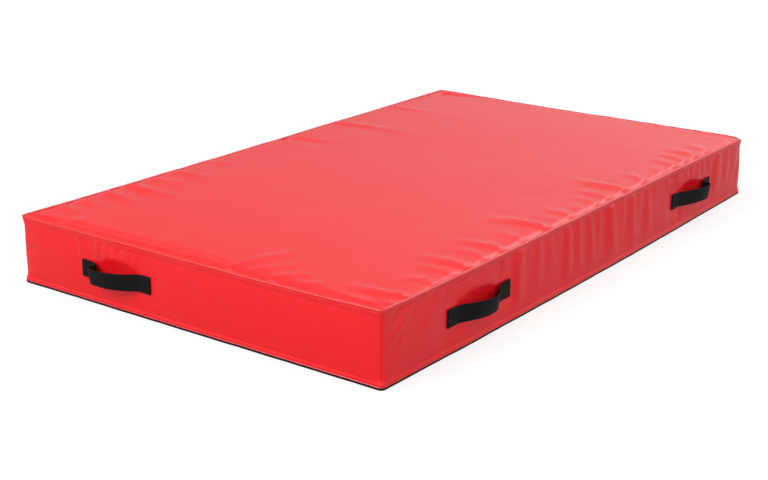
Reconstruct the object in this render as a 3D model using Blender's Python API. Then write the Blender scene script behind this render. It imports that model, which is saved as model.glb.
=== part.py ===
"""A crash mat: a block of foam in a sewn cover of coated fabric, with six webbing handles and a zip.

Metres, +Z up. The origin lies on the floor under the middle of the mat, and the long side runs along Y.
The cover's top, base and wall panels meet at a welt, a round bead sewn into the seam, and each wall runs from
the middle of one rounded corner to the middle of the next. Every piece keeps a small clearance to its neighbour.
"""

import math

import bmesh
import bpy
from mathutils import Matrix, Vector
from mathutils.geometry import interpolate_bezier

# The whole mat
LENGTH = 2.0
WIDTH = 1.2
SEAM_HEIGHT = 0.190
CROWN = 0.010
CROWN_REACH = 0.150
CROWN_FALLOFF = 4
CORNER_RADIUS = 0.014
CLEARANCE = 0.0003

# The cover
COVER_THICKNESS = 0.0008
WALL_SET_BACK = 0.003
WALL_BELLY = 0.0015
WELT_RADIUS = 0.004
WELT_LIFT = 0.0005
FLANGE_THICKNESS = 0.0006
HEM_HEIGHT = 0.008
BASE_FLAT_FROM = 0.014
BASE_CURL = 0.25
PANEL_RISE = 10
LEVEL_LINE_ROUNDING = 0.6
CORNER_TAPE_LEG = 0.020
CORNER_TAPE_THICKNESS = 0.0008

# The foam
FIRM_LAYER = 0.045
FOAM_EDGE_RADIUS = 0.012

# The handles: a flat strap with both ends folded under and sewn down
STRAP_WIDTH = 0.046
STRAP_THICKNESS = 0.0022
HANDLE_HEIGHT = 0.094
BOW_DEPTH = 0.036
FOLD_DEPTH = 0.006
BOW_LEAN = math.radians(9)
BOW_DROP = 0.002
SEWN_LENGTH = 0.041
FOLDED_OVER_SEWN = 0.027
FOLD_SHORTFALL = 0.006
BOW_LEAD = 0.002
PATCH_MARGIN = 0.010
PATCH_THICKNESS = 0.0008

# The handles' lengths, and how far their middles are from the nearest corner: one on each end of the mat, and a
# first and a second along each long side
END_HANDLE = 0.245
FIRST_HANDLE = 0.279
SECOND_HANDLE = 0.266
END_HANDLE_TO_CORNER = 0.361
FIRST_HANDLE_TO_CORNER = 0.396
SECOND_HANDLE_TO_CORNER = 0.400

# The zip
ZIP_GAP = 0.014
COIL_SIZE = 0.0024
COIL_SPACING = 0.0012
TAPE_WIDTH = 0.011
TAPE_THICKNESS = 0.0006
ZIP_STOP_LENGTH = 0.005
SLIDER_LENGTH = 0.014
SLIDER_WIDTH = 0.010
SLIDER_PLATE = 0.0012
CROWN_BAR = 0.0010
CROWN_BAR_WIDTH = 0.0015
PULL_LENGTH = 0.030
PULL_WIDTH = 0.008
PULL_NECK = 0.0045
PULL_EYE_PLAY = 0.0012
PULL_THICKNESS = 0.0012
PULL_CLEARANCE = 0.0004

# How finely round shapes are divided
CORNER_STEPS = 6
BEAD_STEPS = 10
CROWN_STEPS = 7
CROWN_CROWDING = 1.8
BELLY_STEPS = 6
BOW_STEPS = 16
FOLD_STEPS = 6

# Worked out from the sizes above
TOP = SEAM_HEIGHT + CROWN
SIDES = {"front": 0, "right": 90, "back": 180, "left": 270}
BEAD_HIGH = SEAM_HEIGHT - WELT_RADIUS
BEAD_LOW = WELT_LIFT + WELT_RADIUS
WALL_HEAD = BEAD_HIGH - WELT_RADIUS - CLEARANCE
WALL_FOOT = BEAD_LOW + WELT_RADIUS + CLEARANCE
FLANGE_INSET = WALL_SET_BACK + COVER_THICKNESS + CLEARANCE
HEM_INSET = FLANGE_INSET + FLANGE_THICKNESS + CLEARANCE
FLANGE_LOW = WALL_FOOT + HEM_HEIGHT
FLANGE_HIGH = WALL_HEAD - HEM_HEIGHT
BEHIND_WALL = COVER_THICKNESS + CLEARANCE
COIL_FROM = COIL_SPACING / 2
TAPE_FROM = COIL_FROM + COIL_SIZE + CLEARANCE
ZIP_HEIGHT = FLANGE_LOW + CLEARANCE + TAPE_WIDTH + TAPE_FROM
ZIP_END = WIDTH / 2 - CORNER_RADIUS - CORNER_TAPE_LEG - CLEARANCE
COIL_END = ZIP_END - ZIP_STOP_LENGTH - CLEARANCE

# Each handle: its side, the end of the side that it is nearer to, how far its middle is from the corner there,
# which way its slack has slid along the side, its length, how much of its far end is sewn down, where on the way to
# that end the bow stands out most, and how far the bow folds over that end, from 0 to 1.
HANDLES = {
    "handle_front": ("front", -1, END_HANDLE_TO_CORNER, -1, END_HANDLE, FOLDED_OVER_SEWN, 0.60, 1.0),
    "handle_right_1": ("right", -1, FIRST_HANDLE_TO_CORNER, 1, FIRST_HANDLE, SEWN_LENGTH, 0.56, 0.0),
    "handle_right_2": ("right", 1, SECOND_HANDLE_TO_CORNER, 1, SECOND_HANDLE, SEWN_LENGTH, 0.72, 0.25),
    "handle_back": ("back", -1, END_HANDLE_TO_CORNER, -1, END_HANDLE, FOLDED_OVER_SEWN, 0.60, 1.0),
    "handle_left_1": ("left", -1, FIRST_HANDLE_TO_CORNER, 1, FIRST_HANDLE, SEWN_LENGTH, 0.56, 0.0),
    "handle_left_2": ("left", 1, SECOND_HANDLE_TO_CORNER, 1, SECOND_HANDLE, SEWN_LENGTH, 0.72, 0.25),
}

FINISHES = {
    "cover_red": ((0.80, 0.035, 0.045), 0.38, 0.0),
    "base_charcoal": ((0.035, 0.035, 0.038), 0.85, 0.0),
    "webbing_black": ((0.022, 0.023, 0.024), 0.80, 0.0),
    "seam_tape_red": ((0.55, 0.03, 0.04), 0.70, 0.0),
    "foam_soft": ((0.86, 0.80, 0.62), 0.95, 0.0),
    "foam_firm": ((0.30, 0.33, 0.36), 0.90, 0.0),
    "zip_black": ((0.03, 0.03, 0.03), 0.50, 0.0),
    "zip_metal": ((0.10, 0.10, 0.11), 0.35, 1.0),
}


def clear_scene():
    for obj in list(bpy.data.objects):
        bpy.data.objects.remove(obj, do_unlink=True)


def finish(name):
    """The material of this name, made when it is first asked for."""
    material = bpy.data.materials.get(name)
    if material:
        return material
    colour, roughness, metallic = FINISHES[name]
    material = bpy.data.materials.new(name)
    material.use_nodes = True
    shader = material.node_tree.nodes["Principled BSDF"]
    shader.inputs["Base Color"].default_value = (*colour, 1)
    shader.inputs["Roughness"].default_value = roughness
    shader.inputs["Metallic"].default_value = metallic
    return material


def add_object(name, bm, material, origin=(0, 0, 0)):
    """Turns the bmesh into an object whose origin is at this point, and frees it."""
    bmesh.ops.recalc_face_normals(bm, faces=bm.faces)
    bmesh.ops.translate(bm, verts=bm.verts, vec=-Vector(origin))
    mesh = bpy.data.meshes.new(name)
    bm.to_mesh(mesh)
    bm.free()
    mesh.materials.append(finish(material))
    mesh.shade_smooth()
    mesh.set_sharp_from_angle(angle=math.radians(35))
    obj = bpy.data.objects.new(name, mesh)
    obj.location = origin
    bpy.context.collection.objects.link(obj)
    return obj


def extrude_row(bm, row, points, ring):
    """Extrudes a row of vertices onto the next row of points, and returns the new vertices in the same order."""
    pairs = list(zip(row, row[1:]))
    if ring:
        pairs.append((row[-1], row[0]))
    edges = [bm.edges.get(pair) for pair in pairs]
    made = set(bmesh.ops.extrude_edge_only(bm, edges=edges)["geom"])
    fresh = [next(e.other_vert(v) for e in v.link_edges if e.other_vert(v) in made) for v in row]
    for vertex, point in zip(fresh, points):
        vertex.co = point
    return fresh


def loft(rows, ring=True, first_face=True, last_face=True, joined=False):
    """A bmesh that runs through rows of points. A ring is closed within each row; joined meets its own start."""
    bm = bmesh.new()
    row = [bm.verts.new(point) for point in rows[0]]
    for pair in zip(row, row[1:]):
        bm.edges.new(pair)
    if ring:
        bm.edges.new((row[-1], row[0]))
    if first_face and not joined:
        bm.faces.new(row)
    for points in rows[1:] + ([rows[0]] if joined else []):
        row = extrude_row(bm, row, points, ring)
    if last_face and not joined:
        bm.faces.new(row)
    if joined:
        bmesh.ops.remove_doubles(bm, verts=bm.verts, dist=1e-6)
    return bm


def prism(outline, rise):
    """A bmesh of a flat outline, extruded by the vector rise."""
    bm = bmesh.new()
    face = bm.faces.new([bm.verts.new(point) for point in outline])
    made = bmesh.ops.extrude_face_region(bm, geom=[face])["geom"]
    moved = [item for item in made if isinstance(item, bmesh.types.BMVert)]
    bmesh.ops.translate(bm, verts=moved, vec=rise)
    return bm


def box_outline(low, high):
    """The four corners of a rectangle between two opposite corners, in order."""
    return [(low[0], low[1]), (high[0], low[1]), (high[0], high[1]), (low[0], high[1])]


def arc(centre, radius, start, end, steps):
    """Points on an arc in a plane, with the angles in degrees."""
    angles = [math.radians(start + (end - start) * i / steps) for i in range(steps + 1)]
    return [(centre[0] + radius * math.cos(a), centre[1] + radius * math.sin(a)) for a in angles]


def spaced(start, end, steps):
    return [start + (end - start) * i / steps for i in range(steps + 1)]


def on_side(side, along, inset, height):
    """The point this far along a side from its middle, and this far inside the mat's outermost line."""
    reach = (LENGTH if side in ("front", "back") else WIDTH) / 2
    turn = Matrix.Rotation(math.radians(SIDES[side]), 3, "Z")
    return turn @ Vector((along, inset - reach, height))


def edge_inset():
    """How far in the top and base panels leave the bead of their welt."""
    return WELT_RADIUS + (WELT_RADIUS + CLEARANCE) * math.cos(math.radians(PANEL_RISE))


def ring_radius(inset):
    """Plan radius of the outline at this inset: parallel curves at the seams, and rounder across the panels."""
    beyond = max(0, inset - edge_inset())
    return CORNER_RADIUS - inset + (1 + LEVEL_LINE_ROUNDING) * beyond


def half_side(side):
    """Half the length of a side, from its middle to the corner."""
    return (WIDTH if side in ("front", "back") else LENGTH) / 2


def on_corner(side, end, degrees, inset, height):
    """The point on the rounded corner at one end of a side (end is -1 or 1), turned this far round it."""
    radius = ring_radius(inset)
    angle = math.radians(degrees)
    along = end * (half_side(side) - inset - radius + radius * math.sin(angle))
    return on_side(side, along, inset + radius - radius * math.cos(angle), height)


def corner_angles(start, end):
    steps = max(1, round(CORNER_STEPS * abs(end - start) / 90))
    return spaced(start, end, steps)


def outline_ring(inset, height):
    """The mat's whole outline at this inset and height, from the middle of one corner round to the start."""
    ring = []
    for side in SIDES:
        ring += [on_corner(side, -1, a, inset, height) for a in corner_angles(45, 0)]
        ring += [on_corner(side, 1, a, inset, height) for a in corner_angles(0, 45)[:-1]]
    return ring


def wall_inset(height):
    """How far inside the outermost line a wall's outer face lies, at this height: it bellies out a little."""
    share = (height - WALL_FOOT) / (WALL_HEAD - WALL_FOOT)
    return WALL_SET_BACK - WALL_BELLY * math.sin(math.pi * share)


def wall_section(low, high, behind, thickness):
    """The closed section, as (inset, height), of a sheet that follows the wall at this distance behind its face."""
    heights = spaced(low, high, max(2, round(BELLY_STEPS * (high - low) / (WALL_HEAD - WALL_FOOT))))
    outer = [(wall_inset(z) + behind, z) for z in heights]
    inner = [(inset + thickness, z) for inset, z in reversed(outer)]
    return outer + inner


def along_side(side, start, end, section):
    """Rows of points that carry a section straight along a side."""
    return [[on_side(side, along, *point) for point in section] for along in (start, end)]


def wall_rows(side, section):
    """Rows that carry a section along a side from the middle of one corner to the middle of the next."""
    seam = 45 - math.degrees(CLEARANCE / (2 * (CORNER_RADIUS - WALL_SET_BACK)))
    rows = [[on_corner(side, -1, a, *point) for point in section] for a in corner_angles(seam, 0)]
    rows += [[on_corner(side, 1, a, *point) for point in section] for a in corner_angles(0, seam)]
    return rows


# The cover

def hem_inset_angle():
    """How far below level, seen from the bead's centre, the panel leaves its upright hem."""
    return math.degrees(math.acos((HEM_INSET - WELT_RADIUS) / (WELT_RADIUS + CLEARANCE)))


def panel_edge(bead_height, up):
    """The edge of a top or base panel, as (inset, height): its hem, then its bend round the bead. up is 1 or -1."""
    bend = arc((WELT_RADIUS, 0), WELT_RADIUS + CLEARANCE, -hem_inset_angle(), PANEL_RISE, 4)
    hem_end = -WELT_RADIUS - CLEARANCE - HEM_HEIGHT
    edge = [(HEM_INSET, hem_end), (HEM_INSET, (hem_end + bend[0][1]) / 2), *bend]
    return [(inset, bead_height + up * height) for inset, height in edge]


def crown_profile():
    """The top panel from its edge to where it is level, as (inset, height): it rises fast and then levels out."""
    start, low = panel_edge(BEAD_HIGH, 1)[-1]
    shares = [(i / CROWN_STEPS) ** CROWN_CROWDING for i in range(CROWN_STEPS + 1)]
    return [(start + CROWN_REACH * share, TOP - (TOP - low) * (1 - share) ** CROWN_FALLOFF) for share in shares]


def crown_facet(inset):
    """The height of the top panel's outer face at this inset, and its slope there in radians."""
    profile = crown_profile()
    for (start, low), (end, high) in zip(profile, profile[1:]):
        if inset <= end:
            slope = (high - low) / (end - start)
            return low + slope * (inset - start), math.atan(slope)
    return TOP, 0


def fabric_panel(name, rings, material, faces_up):
    """A sheet through rings of points, closed by a face inside the last, with its thickness on the hidden side."""
    bm = loft(rings, first_face=False)
    bmesh.ops.recalc_face_normals(bm, faces=bm.faces)
    middle = max(bm.faces, key=lambda face: face.calc_area())
    if (middle.normal.z > 0) != faces_up:
        bmesh.ops.reverse_faces(bm, faces=bm.faces)
    bmesh.ops.solidify(bm, geom=bm.faces, thickness=COVER_THICKNESS)
    return add_object(name, bm, material)


def cover_top():
    rings = [outline_ring(*point) for point in panel_edge(BEAD_HIGH, 1) + crown_profile()[1:]]
    return fabric_panel("cover_top", rings, "cover_red", True)


def cover_base():
    edge = panel_edge(BEAD_LOW, -1)
    halfway = ((edge[-1][0] + BASE_FLAT_FROM) / 2, edge[-1][1] * BASE_CURL)
    rings = [outline_ring(*point) for point in [*edge, halfway, (BASE_FLAT_FROM, 0)]]
    return fabric_panel("cover_base", rings, "base_charcoal", False)


def welt(name, bead_height, down):
    """The bead with the flange that the seam holds, round the whole mat. down is 1 where the flange hangs down."""
    turns = [math.degrees(math.asin((inset - WELT_RADIUS) / WELT_RADIUS))
             for inset in (FLANGE_INSET, FLANGE_INSET + FLANGE_THICKNESS)]
    bead = arc((WELT_RADIUS, 0), WELT_RADIUS, -90 + turns[1], 270 + turns[0], BEAD_STEPS)
    end = -WELT_RADIUS - CLEARANCE - HEM_HEIGHT
    flange = [(FLANGE_INSET, end), (FLANGE_INSET + FLANGE_THICKNESS, end)]
    section = [(inset, bead_height + down * height) for inset, height in flange + bead]
    rings = [outline_ring(*point) for point in section]
    return add_object(name, loft(rings, joined=True), "cover_red")


def wall(name, side, low=WALL_FOOT, high=WALL_HEAD):
    section = wall_section(low, high, 0, COVER_THICKNESS)
    return add_object(name, loft(wall_rows(side, section)), "cover_red")


def corner_tape(name, side):
    """The tape that backs the corner seam at the right-hand end of a side, seen from outside."""
    section = wall_section(FLANGE_LOW + CLEARANCE, FLANGE_HIGH - CLEARANCE, BEHIND_WALL, CORNER_TAPE_THICKNESS)
    leg_end = half_side(side) - CORNER_RADIUS - CORNER_TAPE_LEG
    rows = [[on_side(side, leg_end, *point) for point in section]]
    rows += [[on_corner(side, 1, a, *point) for point in section] for a in corner_angles(0, 90)]
    far = [on_corner(side, 1, 90, *point) for point in section]
    onward = Matrix.Rotation(math.radians(SIDES[side]), 3, "Z") @ Vector((0, CORNER_TAPE_LEG, 0))
    rows.append([point + onward for point in far])
    return add_object(name, loft(rows), "seam_tape_red")


def build_cover():
    cover_top()
    cover_base()
    welt("welt_top", BEAD_HIGH, 1)
    welt("welt_bottom", BEAD_LOW, -1)
    for side in ("front", "right", "left"):
        wall(f"wall_{side}", side)
    wall("wall_back_upper", "back", low=ZIP_HEIGHT + ZIP_GAP / 2)
    wall("wall_back_lower", "back", high=ZIP_HEIGHT - ZIP_GAP / 2)
    for number, side in enumerate(SIDES, start=1):
        corner_tape(f"corner_tape_{number}", side)


# The foam

def foam_inset():
    """How far in the foam's sides lie at the seams: clear of the hems and of the zip slider's inner plate."""
    hem_face = HEM_INSET + COVER_THICKNESS
    slider_face = zip_inset() + COIL_SIZE / 2 + CLEARANCE + SLIDER_PLATE
    belly = WALL_SET_BACK - wall_inset(ZIP_HEIGHT)
    return max(hem_face, slider_face + belly) + CLEARANCE


def foam_side(low, high):
    """Points up the foam's side, which follows the belly of the wall."""
    return [(foam_inset() - WALL_SET_BACK + wall_inset(z), z) for z in spaced(low, high, BELLY_STEPS)]


def foam_block(name, section, material):
    return add_object(name, loft([outline_ring(*point) for point in section]), material)


def build_foam():
    """A soft block on the base, and the firmer layer on it that spreads a landing."""
    under_cover = COVER_THICKNESS + CLEARANCE
    split = TOP - under_cover - FIRM_LAYER
    bend_inset = foam_inset() + FOAM_EDGE_RADIUS

    low_centre = (bend_inset, under_cover + FOAM_EDGE_RADIUS)
    low_edge = arc(low_centre, FOAM_EDGE_RADIUS, 270, 180, FOLD_STEPS)
    foam_block("foam_soft_block", low_edge[:-1] + foam_side(low_centre[1], split), "foam_soft")

    # The upper edge's bend ends along the slope that the top panel has there.
    slope = crown_facet(bend_inset)[1]
    bend_end = bend_inset - FOAM_EDGE_RADIUS * math.sin(slope)
    bend_top = crown_facet(bend_end)[0] - under_cover
    high_centre = (bend_inset, bend_top - FOAM_EDGE_RADIUS * math.cos(slope))
    high_edge = arc(high_centre, FOAM_EDGE_RADIUS, 180, 90 + math.degrees(slope), FOLD_STEPS)
    crown = [(inset, z - under_cover) for inset, z in crown_profile() if inset > bend_end + CLEARANCE]
    foam_block("foam_firm_layer", foam_side(split + CLEARANCE, high_centre[1]) + high_edge[1:] + crown, "foam_firm")


# The handles

def handle_frame(side, middle, direction):
    """A matrix from a handle's own axes to the mat's: X along the strap, Y out of the wall and Z up."""
    place = on_side(side, middle, wall_inset(HANDLE_HEIGHT), HANDLE_HEIGHT)
    turn = Matrix.Rotation(math.radians(SIDES[side]), 4, "Z")
    axes = Matrix.Diagonal((direction, -1, 1, 1))
    return Matrix.Translation(place) @ turn @ axes


def strap_layers():
    """Distances from the wall of the under layer's faces and of the upper layer's faces."""
    under = (CLEARANCE, CLEARANCE + STRAP_THICKNESS)
    upper = (under[1] + CLEARANCE, under[1] + CLEARANCE + STRAP_THICKNESS)
    return under, upper


def bow_line(length, far_sewn, crest_share, fold):
    """The middle line of the free strap, as (along, out), and how far out it rises from its flat ends."""
    flat = sum(strap_layers()[1]) / 2
    rise = BOW_DEPTH + FOLD_DEPTH * fold - flat
    first = SEWN_LENGTH + CLEARANCE - length / 2
    last = length / 2 - far_sewn - CLEARANCE
    start, end = first + BOW_LEAD, last - BOW_LEAD
    run = end - start
    crest = start + run * crest_share

    def at(along, share):
        return Vector((along, flat + rise * share, 0))

    climb = interpolate_bezier(
        at(start, 0), at(start + run * 0.15, 0.2 + 0.4 * fold), at(crest - run * 0.26, 0.97), at(crest, 1), BOW_STEPS
    )
    fall = interpolate_bezier(
        at(crest, 1),
        at(crest + run * (0.24 + 0.37 * fold), 1.03),
        at(end - run * (0.17 + 0.36 * fold), 0.08),
        at(end, 0),
        BOW_STEPS,
    )
    return [at(first, 0), *climb, *fall[1:], at(last, 0)], rise


def bow_rows(line, rise):
    """The strap's section carried along its bow, which leans out at the top and hangs a little low at its crest."""
    wide, thick = STRAP_WIDTH / 2, STRAP_THICKNESS / 2
    edge = thick / 2
    section = [(-thick, -wide + edge), (-edge, -wide), (edge, -wide), (thick, -wide + edge),
               (thick, wide - edge), (edge, wide), (-edge, wide), (-thick, wide - edge)]
    rows = []
    for i, point in enumerate(line):
        heading = line[min(i + 1, len(line) - 1)] - line[max(i - 1, 0)]
        if i in (0, len(line) - 1):
            heading = Vector((1, 0, 0))
        sway = (point.y - line[0].y) / rise
        across = Vector((0, math.sin(BOW_LEAN * sway), math.cos(BOW_LEAN * sway)))
        outward = across.cross(heading).normalized()
        centre = point - Vector((0, 0, BOW_DROP * sway))
        rows.append([centre + outward * out + across * up for out, up in section])
    return rows


def sewn_end(length, sewn, hand):
    """The outline of one sewn end, folded under itself, as points on the handle's own X and Y. hand is -1 or 1."""
    under, upper = strap_layers()
    inner, outer = length / 2 - sewn, length / 2
    radius = (upper[1] - under[0]) / 2
    fold = arc((outer - radius, under[0] + radius), radius, -90, 90, FOLD_STEPS)
    outline = [(inner, upper[0]), (outer - radius, upper[0]), (outer - radius, under[1]),
               (inner + FOLD_SHORTFALL, under[1]), (inner + FOLD_SHORTFALL, under[0]), *fold, (inner, upper[1])]
    return [Vector((hand * along, out, -STRAP_WIDTH / 2)) for along, out in outline]


def build_handle(name, side, end, from_corner, direction, length, far_sewn, crest_share, fold):
    middle = end * (half_side(side) - from_corner)
    frame = handle_frame(side, middle, direction)
    for letter, sewn, hand in (("a", SEWN_LENGTH, -1), ("b", far_sewn, 1)):
        tab = prism(sewn_end(length, sewn, hand), Vector((0, 0, STRAP_WIDTH)))
        bmesh.ops.transform(tab, matrix=frame, verts=tab.verts)
        add_object(f"{name}_end_{letter}", tab, "webbing_black")
    bow = loft(bow_rows(*bow_line(length, far_sewn, crest_share, fold)))
    bmesh.ops.transform(bow, matrix=frame, verts=bow.verts)
    hinge = frame @ Vector((0, 0, STRAP_WIDTH / 2))
    add_object(f"{name}_strap", bow, "webbing_black", origin=hinge)

    reach = STRAP_WIDTH / 2 + PATCH_MARGIN
    section = wall_section(HANDLE_HEIGHT - reach, HANDLE_HEIGHT + reach, BEHIND_WALL, PATCH_THICKNESS)
    ends = middle - length / 2 - PATCH_MARGIN, middle + length / 2 + PATCH_MARGIN
    add_object(f"{name}_patch", loft(along_side(side, *ends, section)), "seam_tape_red")


# The zip, low on the back wall

def zip_inset():
    """The inset of the middle of the zip's tapes and coils."""
    return wall_inset(ZIP_HEIGHT) + BEHIND_WALL + TAPE_THICKNESS / 2


def zip_tape(name, hand):
    """One tape, sewn behind the edge of a wall panel: hand is 1 above the coils and -1 below them."""
    near, far = ZIP_HEIGHT + hand * TAPE_FROM, ZIP_HEIGHT + hand * (TAPE_FROM + TAPE_WIDTH)
    section = wall_section(min(near, far), max(near, far), BEHIND_WALL, TAPE_THICKNESS)
    add_object(name, loft(along_side("back", -ZIP_END, ZIP_END, section)), "zip_black")


def zip_bar(name, start, end, low, high, material):
    """A straight bar in the coils' plane, with its edges taken off."""
    inset, half, edge = zip_inset(), COIL_SIZE / 2, COIL_SIZE / 5
    section = [(inset - half, low + edge), (inset - half, high - edge), (inset - half + edge, high),
               (inset + half - edge, high), (inset + half, high - edge), (inset + half, low + edge),
               (inset + half - edge, low), (inset - half + edge, low)]
    add_object(name, loft(along_side("back", start, end, section)), material)


def joined_by_boolean(body, other, operation):
    """Adds or cuts other, which is then only a hidden helper."""
    other.hide_render = True
    other.display_type = "WIRE"
    modifier = body.modifiers.new("join", "BOOLEAN")
    modifier.operation = operation
    modifier.solver = "EXACT"
    modifier.object = other


def slider_parts():
    """Where the slider's plates and the pull's pivot lie, as insets from the outermost line."""
    coil_face = zip_inset() - COIL_SIZE / 2
    front = (coil_face - CLEARANCE - SLIDER_PLATE, coil_face - CLEARANCE)
    back = (coil_face + COIL_SIZE + CLEARANCE, coil_face + COIL_SIZE + CLEARANCE + SLIDER_PLATE)
    pivot = front[0] - PULL_CLEARANCE - PULL_THICKNESS / 2
    return front, back, pivot


def crown_radii():
    """The inner and outer radius of the slider's crown, round the pull's pivot."""
    inner = PULL_THICKNESS / 2 * math.sqrt(2) + PULL_CLEARANCE
    return inner, inner + CROWN_BAR


def build_slider(along):
    """Two plates joined between the coils, and the crown that holds the pull."""
    front, back, pivot = slider_parts()
    web = COIL_FROM - CLEARANCE
    half = SLIDER_WIDTH / 2
    section = [(front[0], -half), (front[0], half), (front[1], half), (front[1], web),
               (back[0], web), (back[0], half), (back[1], half), (back[1], -half),
               (back[0], -half), (back[0], -web), (front[1], -web), (front[1], -half)]
    raised = [(inset, ZIP_HEIGHT + z) for inset, z in section]
    rows = along_side("back", along - SLIDER_LENGTH / 2, along + SLIDER_LENGTH / 2, raised)
    origin = on_side("back", along, zip_inset(), ZIP_HEIGHT)
    slider = add_object("zip_slider", loft(rows), "zip_metal", origin=origin)

    inner, outer = crown_radii()
    foot = front[0] + SLIDER_PLATE / 2
    outer_arc = [(along - outer, foot), *arc((along, pivot), outer, 180, 360, 8), (along + outer, foot)]
    inner_arc = [(along + inner, foot), *arc((along, pivot), inner, 360, 180, 8), (along - inner, foot)]
    low = ZIP_HEIGHT - CROWN_BAR_WIDTH / 2
    outline = [on_side("back", a, inset, low) for a, inset in outer_arc + inner_arc]
    crown = add_object("slider_crown", prism(outline, Vector((0, 0, CROWN_BAR_WIDTH))), "zip_metal")
    joined_by_boolean(slider, crown, "UNION")


def build_pull(along):
    """A flat tab with an eye round the crown. It lies along the zip and turns about its own end bar."""
    pivot = slider_parts()[2]
    half_thick = PULL_THICKNESS / 2
    neck, wide = PULL_NECK / 2, PULL_WIDTH / 2
    eye_end = crown_radii()[1] + PULL_EYE_PLAY
    tip = arc((along - PULL_LENGTH + wide, 0), wide, 90, 270, 8)
    outline = [(along + half_thick, neck), (along - eye_end, neck), (along - 2 * eye_end, wide), *tip,
               (along - 2 * eye_end, -wide), (along - eye_end, -neck), (along + half_thick, -neck)]
    face = [on_side("back", a, pivot + half_thick, ZIP_HEIGHT + z) for a, z in outline]
    outward = on_side("back", 0, 0, 0) - on_side("back", 0, PULL_THICKNESS, 0)
    origin = on_side("back", along, pivot, ZIP_HEIGHT)
    pull = add_object("zip_pull", prism(face, outward), "zip_metal", origin=origin)

    eye = CROWN_BAR_WIDTH / 2 + PULL_CLEARANCE
    hole = box_outline((along - eye_end, -eye), (along - half_thick, eye))
    cut_face = [on_side("back", a, pivot + PULL_THICKNESS, ZIP_HEIGHT + z) for a, z in hole]
    cutter = add_object("pull_eye", prism(cut_face, outward * 2), "zip_metal")
    joined_by_boolean(pull, cutter, "DIFFERENCE")


def build_zip():
    zip_tape("zip_tape_upper", 1)
    zip_tape("zip_tape_lower", -1)
    coil_to = COIL_FROM + COIL_SIZE
    zip_bar("zip_coil_upper", -COIL_END, COIL_END, ZIP_HEIGHT + COIL_FROM, ZIP_HEIGHT + coil_to, "zip_black")
    zip_bar("zip_coil_lower", -COIL_END, COIL_END, ZIP_HEIGHT - coil_to, ZIP_HEIGHT - COIL_FROM, "zip_black")
    stop = COIL_END + CLEARANCE, ZIP_END
    zip_bar("zip_stop_closed", *stop, ZIP_HEIGHT - coil_to, ZIP_HEIGHT + coil_to, "zip_metal")
    zip_bar("zip_stop_open", -stop[1], -stop[0], ZIP_HEIGHT - coil_to, ZIP_HEIGHT + coil_to, "zip_metal")
    parked = COIL_END - SLIDER_LENGTH / 2
    build_slider(parked)
    build_pull(parked)


def main():
    clear_scene()
    build_foam()
    build_cover()
    for name, handle in HANDLES.items():
        build_handle(name, *handle)
    build_zip()


main()
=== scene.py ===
# %% [markdown]
# # Dressing a crash mat
#
# A crash mat is a thick block of foam in a sewn cover of coated fabric. The frame that this script loads
# holds the mat's solids, its sizes and its joints. The steps below give each piece its finish: the cover
# with its soft wrinkles, the bead that is sewn into the seams, the webbing handles, the zip and the foam
# inside.

# %% Load the frame
import math

import bmesh
import bpy
from mathutils import Matrix, Vector, noise


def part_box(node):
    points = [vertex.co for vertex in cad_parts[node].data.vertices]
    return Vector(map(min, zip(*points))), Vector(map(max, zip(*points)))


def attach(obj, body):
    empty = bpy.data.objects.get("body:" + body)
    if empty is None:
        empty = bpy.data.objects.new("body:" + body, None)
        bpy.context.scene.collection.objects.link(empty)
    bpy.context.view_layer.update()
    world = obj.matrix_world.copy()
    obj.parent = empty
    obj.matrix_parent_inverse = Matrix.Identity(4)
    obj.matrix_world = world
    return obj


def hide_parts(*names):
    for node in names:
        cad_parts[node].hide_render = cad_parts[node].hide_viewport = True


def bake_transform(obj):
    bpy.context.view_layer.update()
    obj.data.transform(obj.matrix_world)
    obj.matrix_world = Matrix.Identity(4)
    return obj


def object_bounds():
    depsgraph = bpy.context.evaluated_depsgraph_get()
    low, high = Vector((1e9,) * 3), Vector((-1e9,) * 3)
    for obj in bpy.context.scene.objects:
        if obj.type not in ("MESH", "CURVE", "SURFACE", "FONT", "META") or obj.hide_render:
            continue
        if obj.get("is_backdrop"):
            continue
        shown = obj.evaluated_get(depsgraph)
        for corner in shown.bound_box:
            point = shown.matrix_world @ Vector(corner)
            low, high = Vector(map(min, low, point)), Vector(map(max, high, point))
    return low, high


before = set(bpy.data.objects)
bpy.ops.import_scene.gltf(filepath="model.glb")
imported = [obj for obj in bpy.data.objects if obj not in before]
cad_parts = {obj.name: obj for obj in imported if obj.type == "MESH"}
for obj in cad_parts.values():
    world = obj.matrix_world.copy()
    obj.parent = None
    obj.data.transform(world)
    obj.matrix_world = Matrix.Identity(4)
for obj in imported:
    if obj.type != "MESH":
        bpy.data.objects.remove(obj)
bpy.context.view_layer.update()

# %% [markdown]
# ## The mat's main lines
#
# The frame gives the sizes. They could be typed in again, but then two lists could disagree, so they are
# read from the boxes of its solids. The bead round the top seam spans the whole width and length, and
# its crest is the seam's height. Everything that is sewn follows the same rounded outline, so one
# function turns a place on a side into a point: how far along the side, how far inside the outermost
# line, and how high.

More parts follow.
